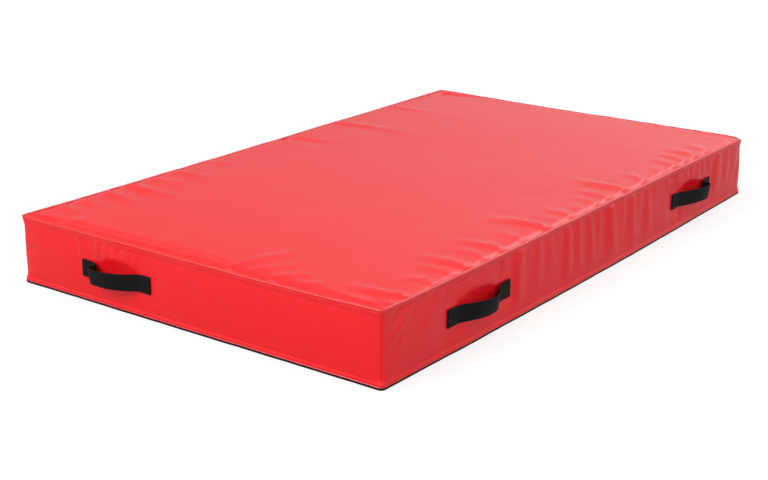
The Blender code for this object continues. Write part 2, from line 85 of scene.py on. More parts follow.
# %% Sizes from the frame
bead_low, bead_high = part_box("welt_top")
WIDTH = bead_high.x - bead_low.x
LENGTH = bead_high.y - bead_low.y
SEAM_HEIGHT = bead_high.z
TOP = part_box("cover_top")[1].z
BEAD_RADIUS = 0.005
CORNER_RADIUS = 0.014
WALL_SET_BACK = 0.003
FABRIC = 0.0008
CLEARANCE = 0.0003
TOP_BEAD = SEAM_HEIGHT - BEAD_RADIUS
LOW_BEAD = 0.0005 + BEAD_RADIUS
WALL_HEAD = TOP_BEAD - BEAD_RADIUS - CLEARANCE
WALL_FOOT = LOW_BEAD + BEAD_RADIUS + CLEARANCE
SIDES = {"front": 0, "right": 90, "back": 180, "left": 270}
print("mat", round(WIDTH, 3), round(LENGTH, 3), round(SEAM_HEIGHT, 3), round(TOP, 3))


# %% A place on a side
def half_side(side):
    """How far a side runs from its middle to its end."""
    return (WIDTH if side in ("front", "back") else LENGTH) / 2


def side_reach(side):
    """How far out from the mat's middle a side lies."""
    return (LENGTH if side in ("front", "back") else WIDTH) / 2


def turn_of(side):
    """The turn about the upright axis that brings the front to this side."""
    return Matrix.Rotation(math.radians(SIDES[side]), 3, "Z")


def facing_side(side, point):
    """A point turned so that the side is in front: X runs along it, and Y inwards."""
    return turn_of(side).transposed() @ point


def on_side(side, along, inset, height):
    """The point this far along a side from its middle, this far inside the outline and this high."""
    return turn_of(side) @ Vector((along, inset - side_reach(side), height))


def round_side(side, along, inset, height):
    """The same, but past the straight part the place runs on round the corner, up to its middle."""
    straight = half_side(side) - CORNER_RADIUS
    past = abs(along) - straight
    if past <= 0:
        return on_side(side, along, inset, height)
    radius = CORNER_RADIUS - inset
    angle = past / (CORNER_RADIUS - WALL_SET_BACK)
    round_along = math.copysign(straight + radius * math.sin(angle), along)
    return on_side(side, round_along, inset + radius - radius * math.cos(angle), height)


def smooth(share):
    """0 below 0, 1 above 1, and a soft step between."""
    share = min(max(share, 0), 1)
    return share * share * (3 - 2 * share)


near_corner = round_side("front", half_side("front"), WALL_SET_BACK, 0.1)
print("near corner", tuple(round(v, 4) for v in near_corner))

# %% [markdown]
# ## The camera
#
# The photograph looks down on the mat's near right corner. The camera stands where the seven seen
# corners of the mat fall on their places in the picture. Aiming it at a target would leave out its
# slight roll, so it is given by where it stands, which way it faces, how far it looks down, and that
# roll. The lens follows from the focal length in pixels of a picture 768 pixels wide.


# %% Camera
def in_scene(name, data):
    """An object that shows this data, linked into the scene."""
    made = bpy.data.objects.new(name, data)
    bpy.context.scene.collection.objects.link(made)
    return made


PICTURE_WIDTH = 768
FOCAL_PIXELS = 1406.0
CAMERA_PLACE = (2.2922, -3.3137, 1.2944)
camera_data = bpy.data.cameras.new("camera")
camera_data.lens = FOCAL_PIXELS * camera_data.sensor_width / PICTURE_WIDTH
camera = in_scene("camera", camera_data)
bpy.context.scene.camera = camera
heading, down, roll = math.radians(126.1463), math.radians(18.1056), math.radians(0.3479)
ahead = Vector((math.cos(heading) * math.cos(down), math.sin(heading) * math.cos(down), -math.sin(down)))
level_right = ahead.cross(Vector((0, 0, 1))).normalized()
level_up = level_right.cross(ahead)
right = level_right * math.cos(roll) + level_up * math.sin(roll)
up = level_up * math.cos(roll) - level_right * math.sin(roll)
facing = Matrix((right, up, -ahead)).transposed().to_4x4()
camera.matrix_world = Matrix.Translation(CAMERA_PLACE) @ facing
bpy.context.scene.view_settings.view_transform = "Standard"
print("lens", round(camera_data.lens, 2), "mm")

# %% [markdown]
# ## Sheets as mapped grids
#
# A sewn panel is a sheet. It could be taken from the frame's solids, but their large plain faces have
# too few points to wrinkle. So each panel starts as a flat grid made by one operator, and a function
# carries every point of the grid to its place on the mat. The lines of the grid may lie closer where the
# fabric has more to show, near a seam for instance. The sheet gets its thickness last, from a Solidify
# modifier.


# %% Places along a line
def spread(start, end, near, far, reach):
    """Places from start to end, a step of near apart at both ends and a step of far in the middle."""
    places, place = [start], start
    while True:
        from_end = min(place - start, end - place)
        place += near + (far - near) * smooth(from_end / reach)
        if place > end - near / 2:
            break
        places.append(place)
    return places + [end]


def even(start, end, step):
    """Places from start to end, evenly divided, about a step apart."""
    count = max(1, round((end - start) / step))
    return [start + (end - start) * i / count for i in range(count + 1)]


print("a metre in steps of 0.3:", even(0, 1, 0.3))


# %% A mapped grid
def grid_mesh(name, across, along, place):
    """A grid over two lists of places, each point put where place(a, b) says, with its UV in metres."""
    bm = bmesh.new()
    columns, rows = len(across) - 1, len(along) - 1
    bmesh.ops.create_grid(bm, x_segments=columns, y_segments=rows, size=1)
    layer = bm.loops.layers.uv.new("UVMap")
    spots = {}
    for vertex in bm.verts:
        i = round((vertex.co.x + 1) / 2 * columns)
        j = round((vertex.co.y + 1) / 2 * rows)
        spots[vertex] = (across[i], along[j])
    for face in bm.faces:
        for loop in face.loops:
            loop[layer].uv = spots[loop.vert]
    for vertex, spot in spots.items():
        vertex.co = place(*spot)
    return bm


sample = grid_mesh("sample", [0, 1, 2], [0, 1], lambda a, b: Vector((a, b, 0)))
print("a grid of 2 by 1 cells has", len(sample.verts), "points")
sample.free()

# %% [markdown]
# The finished mesh becomes an object with its material, the solid of the frame that it stands in for is
# hidden, and it moves with a body. Each piece could do this by itself, but these lines are the same for
# nearly all of them.


# %% Pieces of the scene
def add_piece(name, bm, material, smooth_angle=None):
    """Makes a bmesh an object of the scene, shaded smooth, with its material."""
    mesh = bpy.data.meshes.new(name)
    bm.to_mesh(mesh)
    bm.free()
    mesh.materials.append(material)
    mesh.shade_smooth()
    if smooth_angle:
        mesh.set_sharp_from_angle(angle=math.radians(smooth_angle))
    piece = in_scene(name, mesh)
    return piece


def seal(bm, ends=False):
    """Joins a bent grid where it meets itself, closes its open ends if asked, and turns its faces out."""
    bmesh.ops.remove_doubles(bm, verts=bm.verts, dist=1e-6)
    if ends:
        bmesh.ops.holes_fill(bm, edges=[edge for edge in bm.edges if edge.is_boundary])
    bmesh.ops.recalc_face_normals(bm, faces=bm.faces)


def put_in_order(bm):
    """Numbers a mesh's parts by place, because some operators leave them in another order each time."""
    for index, vertex in enumerate(sorted(bm.verts, key=lambda vertex: tuple(vertex.co))):
        vertex.index = index
    bm.verts.sort()
    for parts in (bm.edges, bm.faces):
        ordered = sorted(parts, key=lambda part: sorted(vertex.index for vertex in part.verts))
        for index, part in enumerate(ordered):
            part.index = index
        parts.sort()


def stand_in(piece, node, body="mat"):
    """Puts a piece in the place of a solid of the frame, and lets it move with a body."""
    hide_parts(node)
    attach(piece, body)
    return piece


def thicken(piece, thickness, offset=-1):
    """Gives a sheet its thickness, on the side away from its normals unless offset says otherwise."""
    modifier = piece.modifiers.new("thickness", "SOLIDIFY")
    modifier.thickness = thickness
    modifier.offset = offset
    modifier.use_even_offset = False


print("fabric is", FABRIC * 1000, "mm thick")

# %% [markdown]
# ## Letting the cover swell
#
# The foam is a little bigger than its cover, so it pushes every panel outwards between its seams. A
# formula could belly the panels out, but simulated cloth finds its own soft forms between the folds that
# are already drawn. Its points are held along the seams and under the handles, the pressure pushes the
# rest out, and no point may move further than the foam could push it.

# %% Cloth simulation
SETTLING_STEPS = 20


def swell(piece, held, cap, pressure=4.0, mass=0.3):
    """Lets the foam swell a panel. held says which points stay, and cap how far the others may move."""
    scene = bpy.context.scene
    points = piece.data.vertices
    start = [point.co.copy() for point in points]
    kept = [point.index for point in points if held(point.co)]
    group = piece.vertex_groups.new(name="kept")
    group.add(kept, 1.0, "REPLACE")
    cloth = piece.modifiers.new("cloth", "CLOTH")
    settings = cloth.settings
    settings.quality = 4
    settings.mass = mass
    settings.tension_stiffness = 15
    settings.compression_stiffness = 15
    settings.shear_stiffness = 5
    settings.bending_stiffness = 0.5
    settings.vertex_group_mass = "kept"
    settings.use_pressure = True
    settings.uniform_pressure_force = pressure
    settings.effector_weights.gravity = 0
    for step in range(1, SETTLING_STEPS + 1):
        scene.frame_set(step)
    settled = piece.evaluated_get(bpy.context.evaluated_depsgraph_get()).data
    moves = [point.co - place for point, place in zip(settled.vertices, start)]
    piece.modifiers.remove(cloth)
    piece.vertex_groups.remove(group)
    scene.frame_set(1)
    for point, place, move in zip(points, start, moves):
        point.co = place + move * min(1, cap / max(move.length, 1e-9))
    furthest = max(move.length for move in moves)
    print(piece.name, len(kept), "points kept, furthest move", round(furthest * 1000, 2), "mm")


print("cloth is simulated")

# %% [markdown]
# ## Shader maths as Python
#
# A material is a tree of nodes. Each node could be added and linked by hand, a few lines at a time.
# Wrapping a socket in a small class lets the tree be written as sums instead, so that weave * 0.5 + 0.1
# adds the Math nodes by itself. Every other node comes from one method.


# %% The socket wrapper
class Wire:
    """A shader socket that takes part in Python sums."""

    def __init__(self, tree, socket=None):
        self.tree, self.socket = tree, socket

    def node(self, kind, settings, inputs, output=0):
        """Adds a node: its settings, such as an operation, then values or wires for its sockets."""
        made = self.tree.nodes.new(kind)
        for name, value in settings.items():
            setattr(made, name, value)
        for name, value in inputs.items():
            if isinstance(value, Wire):
                self.tree.links.new(value.socket, made.inputs[name])
            else:
                made.inputs[name].default_value = value
        return Wire(self.tree, made.outputs[output])

    def into(self, socket):
        self.tree.links.new(self.socket, socket)

    def maths(self, operation, *others):
        """A Math node on this wire and others."""
        return self.node("ShaderNodeMath", {"operation": operation}, dict(enumerate((self, *others))))

    def __add__(self, other):
        return self.maths("ADD", other)

    def __sub__(self, other):
        return self.maths("SUBTRACT", other)

    def __rsub__(self, other):
        return self.node("ShaderNodeMath", {"operation": "SUBTRACT"}, {0: other, 1: self})

    def __mul__(self, other):
        return self.maths("MULTIPLY", other)

    __radd__ = __add__
    __rmul__ = __mul__

    def sine(self):
        return self.maths("SINE")

    def axes(self):
        """The three numbers of a vector, each as a wire."""
        split = self.node("ShaderNodeSeparateXYZ", {}, {0: self})
        return [Wire(self.tree, socket) for socket in split.socket.node.outputs]

    def noise(self, scale, detail=2, roughness=0.5):
        values = {"Vector": self, "Scale": scale, "Detail": detail, "Roughness": roughness}
        return self.node("ShaderNodeTexNoise", {}, values, "Fac")

    def mix(self, first, second):
        """Two colours, mixed by this wire."""
        return self.node("ShaderNodeMix", {"data_type": "RGBA"}, {"Factor": self, 6: first, 7: second}, 2)

    def bump(self, distance, strength=1.0):
        """This wire as a height, in metres times distance."""
        values = {"Height": self, "Distance": distance, "Strength": strength}
        return self.node("ShaderNodeBump", {}, values)


print("shader sums ready")


# %% Start of a material
def begin(name, colour, roughness, metallic=0.0, coordinates="Object"):
    """A material, its shader, and a wire of the coordinates that its patterns read."""
    material = bpy.data.materials.new(name)
    material.use_nodes = True
    shader = material.node_tree.nodes["Principled BSDF"]
    shader.inputs["Base Color"].default_value = (*colour, 1)
    shader.inputs["Roughness"].default_value = roughness
    shader.inputs["Metallic"].default_value = metallic
    place = Wire(material.node_tree).node("ShaderNodeTexCoord", {}, {}, coordinates)
    return material, shader, place


def rgba(colour, share=1.0):
    """A colour for a socket, paler or deeper by a share."""
    return (*[value * share for value in colour], 1)


def plain_weave(place, pitch):
    """Waves along all three axes, a thread each, so that the weave shows on a face of any direction."""
    rate = 2 * math.pi / pitch
    x, y, z = place.axes()
    return ((x * rate).sine() + (y * rate).sine() + (z * rate).sine()) * 0.33


print("a colour for a socket:", rgba((0.5, 0.4, 0.3), 0.5))

# %% [markdown]
# ## The coated fabric
#
# The cover is polyester cloth coated with soft plastic. The coating is smooth and takes a broad shine,
# and the cloth's threads, about a millimetre apart, press through it very faintly. The threads could be
# a picture, but waves and noise stay sharp from near and need no file. The red is deep, and the pale
# look of the far part of the top is only the sheen of a bright room, which the shader gives by itself.
# On the bead the fabric is drawn tight over its cord, so it is a little glossier; its darker red is
# painted shade.

# %% Red coated fabric
RED = (0.84, 0.006, 0.012)
RED_PALER = (0.86, 0.008, 0.015)
# the bead's red is darker than the cover's, as painted shade along the bead
BEAD_RED_PAINTED_SHADE = (0.74, 0.004, 0.009)
THREAD_SPACING = 0.0011
coated_red, shader, place = begin("coated_fabric_red", RED, 0.34)
weave = plain_weave(place, THREAD_SPACING)
grain = place.noise(900, 3)
patches = place.noise(5, 3)
handling = place.noise(38, 4, 0.6)
patches.mix(rgba(RED, 0.97), rgba(RED_PALER)).into(shader.inputs["Base Color"])
(handling * 0.08 + patches * 0.06 + 0.25).into(shader.inputs["Roughness"])
(weave * 0.06 + grain * 0.25).bump(0.0004, 0.30).into(shader.inputs["Normal"])
shader.inputs["IOR"].default_value = 1.45

bead_red, shader, place = begin("coated_bead_red", BEAD_RED_PAINTED_SHADE, 0.2)
(place.noise(60, 3) * 0.08 + 0.22).into(shader.inputs["Roughness"])
place.noise(900, 3).bump(0.0003, 0.2).into(shader.inputs["Normal"])
shader.inputs["IOR"].default_value = 1.62
print(coated_red.name, bead_red.name)

# %% [markdown]
# The other fabrics are matt. Webbing is woven flat from thick yarn. Its pattern could follow the mat's
# axes, as that of the other cloths does, but it has to run along the strap and round its folds, so it
# reads the piece's own UV map, which is in metres.

# %% Webbing, tape, base cloth and thread
YARN_SPACING = 0.0022
WEBBING_DARK = (0.002, 0.002, 0.0023)
WEBBING_PALE = (0.007, 0.0073, 0.0078)
webbing_black, shader, place = begin("woven_webbing_black", (0.009, 0.009, 0.010), 0.62, coordinates="UV")
u, v, _ = place.axes()
rate = 2 * math.pi / YARN_SPACING
ribs = ((u * rate).sine() * (v * rate * 0.8).sine()) * 0.5 + 0.5
fuzz = place.noise(1500, 2)
lint = place.noise(60, 3)
thread_tone = (ribs * 0.4 + lint * 0.5).mix(rgba(WEBBING_DARK), rgba(WEBBING_PALE))
thread_tone.into(shader.inputs["Base Color"])
(ribs + fuzz * 0.4).bump(0.0004, 0.6).into(shader.inputs["Normal"])
(lint * 0.2 + 0.45).into(shader.inputs["Roughness"])
shader.inputs["Specular IOR Level"].default_value = 0.12


def woven(name, colour, pitch, roughness):
    """A matt cloth in plain weave, with its threads this far apart."""
    material, shader, place = begin(name, colour, roughness)
    weave = plain_weave(place, pitch)
    tone = place.noise(30, 3) * 0.6 + weave * 0.2 + 0.1
    shader.inputs["Specular IOR Level"].default_value = 0.12
    tone.mix(rgba(colour, 0.8), rgba(colour, 1.2)).into(shader.inputs["Base Color"])
    weave.bump(pitch * 0.3, 0.5).into(shader.inputs["Normal"])
    (place.noise(80, 2) * 0.15 + roughness - 0.07).into(shader.inputs["Roughness"])
    return material


seam_tape_red = woven("seam_tape_red_cloth", (0.50, 0.02, 0.03), 0.0012, 0.7)
# the same dark cloth edges the bottom bead, where it is partly painted contact shadow
base_charcoal = woven("base_charcoal_cloth", (0.018, 0.008, 0.009), 0.0022, 0.85)
zip_tape_black = woven("zip_tape_black", (0.025, 0.025, 0.026), 0.0008, 0.75)
thread_red = woven("thread_red", (0.66, 0.006, 0.011), 0.0006, 0.6)
thread_black = woven("thread_black", (0.030, 0.031, 0.033), 0.0006, 0.6)
print("fabrics:", webbing_black.name, seam_tape_red.name, base_charcoal.name)


# %% [markdown]
# Foam is a mass of tiny cells. They are too small and too many to model, so its material is a cell
# pattern pressed in as a bump. The zip's coils are nylon and its slider is dark plated metal, a little
# scuffed.

# %% Foam, nylon and metal
def foam_like(name, colour, cell):
    """Foam whose cells are this wide."""
    material, shader, place = begin(name, colour, 0.95)
    values = {"Vector": place, "Scale": 1 / cell}
    cells = place.node("ShaderNodeTexVoronoi", {"feature": "F1"}, values, "Distance")
    tone = cells * 0.7 + place.noise(12, 3) * 0.3
    tone.mix(rgba(colour, 0.8), rgba(colour, 1.08)).into(shader.inputs["Base Color"])
    cells.bump(cell * 0.5, 0.6).into(shader.inputs["Normal"])
    return material


foam_soft = foam_like("foam_soft", (0.80, 0.74, 0.56), 0.0016)
foam_firm = foam_like("foam_firm", (0.30, 0.33, 0.36), 0.0011)

zip_nylon, shader, place = begin("zip_nylon", (0.022, 0.022, 0.024), 0.42)
(place.noise(500, 2) * 0.2 + 0.3).into(shader.inputs["Roughness"])
place.noise(900, 2).bump(0.0002, 0.2).into(shader.inputs["Normal"])

zip_metal, shader, place = begin("zip_metal", (0.12, 0.12, 0.125), 0.35, 1.0)
scuffs = place.noise(420, 5, 0.7)
scuffs.mix(rgba((0.07, 0.07, 0.075)), rgba((0.26, 0.26, 0.27))).into(shader.inputs["Base Color"])
(scuffs * 0.3 + 0.2).into(shader.inputs["Roughness"])
scuffs.bump(0.0001, 0.3).into(shader.inputs["Normal"])
print("foam and zip finishes ready")

# %% [markdown]
# ## Where the fabric wrinkles
#
# The top panel is a little bigger than the foam, so its spare fabric gathers along the seams in soft
# ridges, which run inwards and fade. Noise alone could roughen it, but it puts the same bumps
# everywhere, while sewn cloth buckles in lines that start at its seam. So each ridge below is given:
# where it leaves the seam, where it ends, how wide it is and how high. A ridge has a shallow
# valley on each side, as buckled cloth has.

# %% Ridges of the top panel
TOP_RIDGES = [
    # x and y where it leaves the seam, x and y where it ends, its half width and its height
    # along the right edge, from the far corner to the near one
    (0.590, 0.735, 0.480, 0.790, 0.020, 0.0033),
    (0.592, 0.655, 0.460, 0.692, 0.022, 0.0047),
    (0.592, 0.588, 0.465, 0.606, 0.019, 0.0040),
    (0.592, 0.512, 0.470, 0.540, 0.020, 0.0040),
    (0.592, 0.430, 0.520, 0.452, 0.018, 0.0018),
    (0.592, 0.300, 0.480, 0.340, 0.022, 0.0036),
    (0.592, 0.190, 0.400, 0.172, 0.024, 0.0062),
    (0.592, 0.082, 0.460, 0.092, 0.020, 0.0044),
    (0.592, 0.014, 0.490, 0.028, 0.016, 0.0033),
    (0.592, -0.060, 0.520, -0.050, 0.014, 0.0022),
    (0.592, -0.130, 0.480, -0.110, 0.018, 0.0036),
    (0.592, -0.190, 0.520, -0.186, 0.012, 0.0018),
    (0.592, -0.252, 0.400, -0.296, 0.024, 0.0065),
    (0.592, -0.378, 0.470, -0.374, 0.020, 0.0029),
    (0.592, -0.474, 0.440, -0.500, 0.020, 0.0047),
    (0.592, -0.552, 0.470, -0.556, 0.018, 0.0033),
    (0.592, -0.636, 0.440, -0.652, 0.022, 0.0055),
    (0.592, -0.700, 0.460, -0.706, 0.018, 0.0029),
    (0.592, -0.775, 0.490, -0.805, 0.017, 0.0029),
    (0.592, -0.890, 0.410, -0.930, 0.021, 0.0055),
    (0.592, -0.945, 0.520, -0.980, 0.013, 0.0036),
    # the two far corners, where the surface dips
    (-0.570, 0.935, -0.380, 0.962, 0.030, -0.0042),
    (0.575, 0.955, 0.440, 0.945, 0.024, -0.0034),
    # along the left edge
    (-0.592, 0.640, -0.360, 0.646, 0.024, 0.0036),
    (-0.592, 0.334, -0.250, 0.340, 0.026, 0.0047),
    (-0.592, 0.064, -0.340, 0.064, 0.026, -0.0047),
    (-0.592, -0.300, -0.430, -0.290, 0.022, 0.0022),
    (-0.592, -0.456, -0.370, -0.442, 0.024, 0.0033),
    (-0.592, -0.548, -0.430, -0.540, 0.018, 0.0029),
    (-0.592, -0.628, -0.350, -0.654, 0.023, 0.0062),
    (-0.592, -0.716, -0.370, -0.758, 0.022, 0.0047),
    (-0.592, -0.800, -0.440, -0.850, 0.020, 0.0026),
    (-0.592, -0.868, -0.440, -0.920, 0.020, 0.0033),
    # along the front edge
    (-0.440, -0.992, -0.410, -0.890, 0.020, 0.0022),
    (-0.118, -0.992, -0.112, -0.905, 0.018, 0.0026),
    (-0.010, -0.992, -0.030, -0.905, 0.016, 0.0029),
    (0.052, -0.992, 0.040, -0.925, 0.013, 0.0026),
    (0.132, -0.992, 0.204, -0.800, 0.019, 0.0062),
    (0.190, -0.992, 0.262, -0.860, 0.015, 0.0029),
    (0.256, -0.992, 0.334, -0.900, 0.015, 0.0047),
    (0.330, -0.992, 0.400, -0.930, 0.014, 0.0026),
    # along the back edge
    (-0.190, 0.992, -0.186, 0.890, 0.020, 0.0026),
    (0.060, 0.992, 0.040, 0.900, 0.020, 0.0018),
    (0.320, 0.992, 0.300, 0.880, 0.020, 0.0029),
    (0.480, 0.992, 0.440, 0.900, 0.018, 0.0026),
]
print(len(TOP_RIDGES), "ridges on the top")


# %% Height of one ridge
def ridge_height(x, y, ridge, lasting=0.0):
    """How much one ridge lifts the fabric at a place. A lasting ridge keeps its height for longer."""
    x0, y0, x1, y1, width, height = ridge
    run_x, run_y = x1 - x0, y1 - y0
    length = math.hypot(run_x, run_y)
    share = ((x - x0) * run_x + (y - y0) * run_y) / length**2
    if share < -0.15 or share > 1.1:
        return 0
    off = ((y - y0) * run_x - (x - x0) * run_y) / length
    off += 0.14 * width * math.sin(share * 5 + x0 * 40 + y0 * 23)
    near = off / (width * (0.75 + 0.5 * max(share, 0)))
    if abs(near) > 3.2:
        return 0
    crest = (1 - 0.6 * near * near) * math.exp(-0.6 * near * near)
    fade = smooth((share + 0.05) / 0.12) * smooth((1.05 - share) / (1.0 - lasting))
    return height * crest * fade


print("first crest", round(ridge_height(0.55, 0.76, TOP_RIDGES[0], 0.3), 4))

# %% [markdown]
# The seam itself isn't quite straight: where fabric is gathered into it, the bead rises, dips and sways
# by a millimetre or so. The long walls also stand out at the middle of their foot, by about a
# centimetre, where the foam spreads. The bead and the panels could each have a sway of their own, but
# then gaps would open between them, so they all ask the same functions.


# %% Sway of the seams
FOOT_SPREAD = 0.0105


def seam_sway(side, along, high):
    """How far the bead leaves its straight line at a place on a side: outwards, and up."""
    half = half_side(side)
    fade = smooth((half - abs(along)) / 0.12)
    start = SIDES[side] * 0.37 + (11.0 if high else 47.0)
    wide = noise.noise(Vector((along * 5 + start, 0.5, 0)))
    fine = noise.noise(Vector((along * 17 + start, 3.5, 0)))
    out = fade * (0.0011 * wide + 0.0009 * fine)
    if not high:
        return (0 if side == "back" else out + foot_spread(side, along)), 0
    far_right = (side == "right" and along > 0) or (side == "back" and along < 0)
    out -= (0.0045 if far_right else 0.0006) * math.exp(-(((half - abs(along)) / 0.035) ** 2))
    lift = fade * (0.0009 * noise.noise(Vector((along * 11 + start, 7.5, 0))))
    bow = 0.0018 * (1 - (along / half) ** 2) if side in ("right", "left") else 0
    return out, lift + bow


def foot_spread(side, along):
    """How far the foot of a wall stands out between its corners."""
    if side not in ("right", "left"):
        return 0
    return FOOT_SPREAD * (1 - abs(along / half_side(side)) ** 1.7)


CORNER_LIFTS = [
    # x and y of the corner, how far it is raised or sunken, and how far that reaches
    (-0.6, 1.0, 0.0042, 0.28),
    (0.6, 1.0, -0.0065, 0.020),
    (-0.6, -1.0, 0.0006, 0.040),
    (0.6, -1.0, 0.0050, 0.170),
]


def corner_lift(x, y):
    """How far the top seam is lifted at a place by the pull of the corners."""
    lift = -0.0022 * smooth((0.35 - y) / 0.5) * smooth((y + 0.95) / 0.3) * smooth((-0.4 - x) / 0.15)
    for corner_x, corner_y, height, reach in CORNER_LIFTS:
        away = math.hypot(x - corner_x * WIDTH / 1.2, y - corner_y * LENGTH / 2)
        lift += height * math.exp(-((away / reach) ** 2))
    return lift


print("sway at the middle of the right foot", [round(v, 4) for v in seam_sway("right", 0, False)])

# %% [markdown]
# ## The top panel
#
# The foam crowns the panel: it rises in a tight roll from the seam and then in a broad low dome. It
# could be sculpted, but a height that is worked out for every place stays easy to change. The grid is
# finest at the seams, where the ridges are. Its border is then extruded down behind the bead, as the
# real panel's edge is turned into the seam.

# %% Height of the top
ROLL_REACH = 0.023
ROLL_SHARE = 0.60
DOME_REACH = 0.42
CROWN_START = BEAD_RADIUS + (BEAD_RADIUS + CLEARANCE) * math.cos(math.radians(10))
CROWN_LOW = TOP_BEAD + (BEAD_RADIUS + CLEARANCE) * math.sin(math.radians(10))


def crown_height(x, y):
    """The top of the padding, without its wrinkles: a tight roll at the seam, then a broad low dome."""
    rise = 1
    for place, size in ((x, WIDTH), (y, LENGTH)):
        inset = max(size / 2 - abs(place) - CROWN_START, 0)
        roll = 1 - max(0, 1 - inset / ROLL_REACH) ** 2.2
        dome = smooth(0.5 + inset / DOME_REACH / 2) * 2 - 1
        rise *= ROLL_SHARE * roll + (1 - ROLL_SHARE) * dome
    return CROWN_LOW + (TOP - CROWN_LOW) * rise


def top_height(x, y):
    """The crown with its ridges and a faint rolling, which fades towards the seams."""
    height = crown_height(x, y)
    height += sum(ridge_height(x, y, ridge, 0.3) for ridge in TOP_RIDGES)
    from_seam = min(WIDTH / 2 - abs(x), LENGTH / 2 - abs(y)) - CROWN_START
    rolling = noise.noise(Vector((x * 5, y * 3.2, 1.7))) * 0.0016
    rolling += noise.noise(Vector((x * 13, y * 9, 5.2))) * 0.0006
    return height + rolling * smooth(from_seam / 0.12)


print("crown", round(crown_height(0, 0), 4), "at the seam", round(crown_height(WIDTH / 2, 0), 4))


# %% Places of the top panel
def nearest_sway(x, y):
    """The sway of the seams near a place on the top, fading inwards, as a sideways move and a lift."""
    move = Vector((0, 0, 0))
    for side in SIDES:
        local = facing_side(side, Vector((x, y, 0)))
        inset = local.y + side_reach(side)
        if inset > 0.08:
            continue
        out, lift = seam_sway(side, local.x, True)
        fade = 1 - smooth((inset - CROWN_START) / 0.06)
        move += turn_of(side) @ Vector((0, -out * fade, lift * fade))
    inset = min(WIDTH / 2 - abs(x), LENGTH / 2 - abs(y))
    move.z += corner_lift(x, y) * (1 - smooth((inset - CROWN_START) / 0.05))
    return move


def place_on_top(x, y):
    """The point of the top panel that belongs over this place of its flat grid."""
    move = nearest_sway(x, y)
    return Vector((x + move.x, y + move.y, top_height(x, y) + move.z))


print("middle of the top", tuple(round(v, 4) for v in place_on_top(0, 0)))

# %% Make the top panel
TURNED_EDGE = ((0.0006, 0.0025), (0.0010, 0.003), (0.0006, 0.008))
TOP_HELD = 0.012
TOP_SWELL = 0.0014
half_x, half_y = WIDTH / 2 - CROWN_START, LENGTH / 2 - CROWN_START
columns = spread(-half_x, half_x, 0.005, 0.012, 0.30)
rows = spread(-half_y, half_y, 0.005, 0.012, 0.30)
top_bm = grid_mesh("cover_top", columns, rows, place_on_top)
corner_cut = (CORNER_RADIUS - CROWN_START) * (1 - math.sqrt(0.5))
for vertex in top_bm.verts:
    if len(vertex.link_edges) == 2:
        vertex.co.x -= math.copysign(corner_cut, vertex.co.x)
        vertex.co.y -= math.copysign(corner_cut, vertex.co.y)
for out, fall in TURNED_EDGE:
    border = [edge for edge in top_bm.edges if edge.is_boundary]
    made = bmesh.ops.extrude_edge_only(top_bm, edges=border)["geom"]
    for vertex in (item for item in made if isinstance(item, bmesh.types.BMVert)):
        at_side = abs(abs(vertex.co.x) - half_x) < 0.004
        at_end = abs(abs(vertex.co.y) - half_y) < 0.004
        out_x = math.copysign(out * at_side, vertex.co.x)
        out_y = math.copysign(out * at_end, vertex.co.y)
        vertex.co += Vector((out_x, out_y, -fall))


def near_outline(point):
    """Whether a point is held by the seams."""
    return WIDTH / 2 - abs(point.x) < TOP_HELD or LENGTH / 2 - abs(point.y) < TOP_HELD


put_in_order(top_bm)
cover_top = add_piece("top_panel", top_bm, coated_red)
swell(cover_top, near_outline, TOP_SWELL)
thicken(cover_top, FABRIC)
stand_in(cover_top, "cover_top")
print("top panel", len(cover_top.data.polygons), "faces")

# %% [markdown]
# ## The bead
#
# The bead is a cord wrapped in the cover's fabric and caught in the seam. A bevelled curve could make
# it, but its corners would be hard to match to the panels. So a grid is bent round into a tube and
# carried round the outline by the same functions that place the panels, with its ends joined.


# %% Beads
def outline_places(step):
    """Places round the whole outline, as (side, along), with the corners finely divided."""
    places = []
    for side in SIDES:
        half = half_side(side)
        straight = half - CORNER_RADIUS
        turn = (CORNER_RADIUS - WALL_SET_BACK) * math.pi / 4
        places += [(side, -straight - turn * i / 5) for i in range(5, 0, -1)]
        places += [(side, along) for along in even(-straight, straight, step)]
        places += [(side, straight + turn * i / 5) for i in range(1, 5)]
    return places


def bead(name, height, high, replaced):
    """A bead whose middle lies at this height. The high one sways and lifts with the top's seam."""
    places = outline_places(0.010)
    turns = [math.radians(360 * i / 14) for i in range(15)]

    def on_bead(turn, number):
        side, along = places[round(number) % len(places)]
        out, lift = seam_sway(side, along, high)
        fullness = 1 + 0.10 * noise.noise(Vector((along * 25, SIDES[side], height)))
        radius = BEAD_RADIUS * fullness
        inset = BEAD_RADIUS - out - radius * math.cos(turn)
        if high:
            middle = round_side(side, along, BEAD_RADIUS, height)
            lift += corner_lift(middle.x, middle.y)
        return round_side(side, along, inset, height + lift + radius * math.sin(turn))

    bm = grid_mesh(name, turns, list(range(len(places) + 1)), on_bead)
    seal(bm)
    return stand_in(add_piece(name, bm, bead_red), replaced)


bead_top = bead("bead_top", TOP_BEAD, True, "welt_top")
bead_bottom = bead("bead_bottom", LOW_BEAD, False, "welt_bottom")
print("beads", len(bead_top.data.polygons), len(bead_bottom.data.polygons), "faces")

# %% [markdown]
# ## The walls
#
# Each wall runs from the middle of one corner to the middle of the next. Under the top bead its turned
# edge makes a soft roll, which ends in a line of topstitching. Its foot has a roll and a line of
# stitches too, though on the back the zip takes the place of that line. The fabric gathers between:
# mostly upright folds on the long walls, and short creases about the handles and corners. They could be
# drawn another way than those of the top, but a wall is only a sheet stood on edge, so its folds are the
# same ridges, with the height in the place of y.

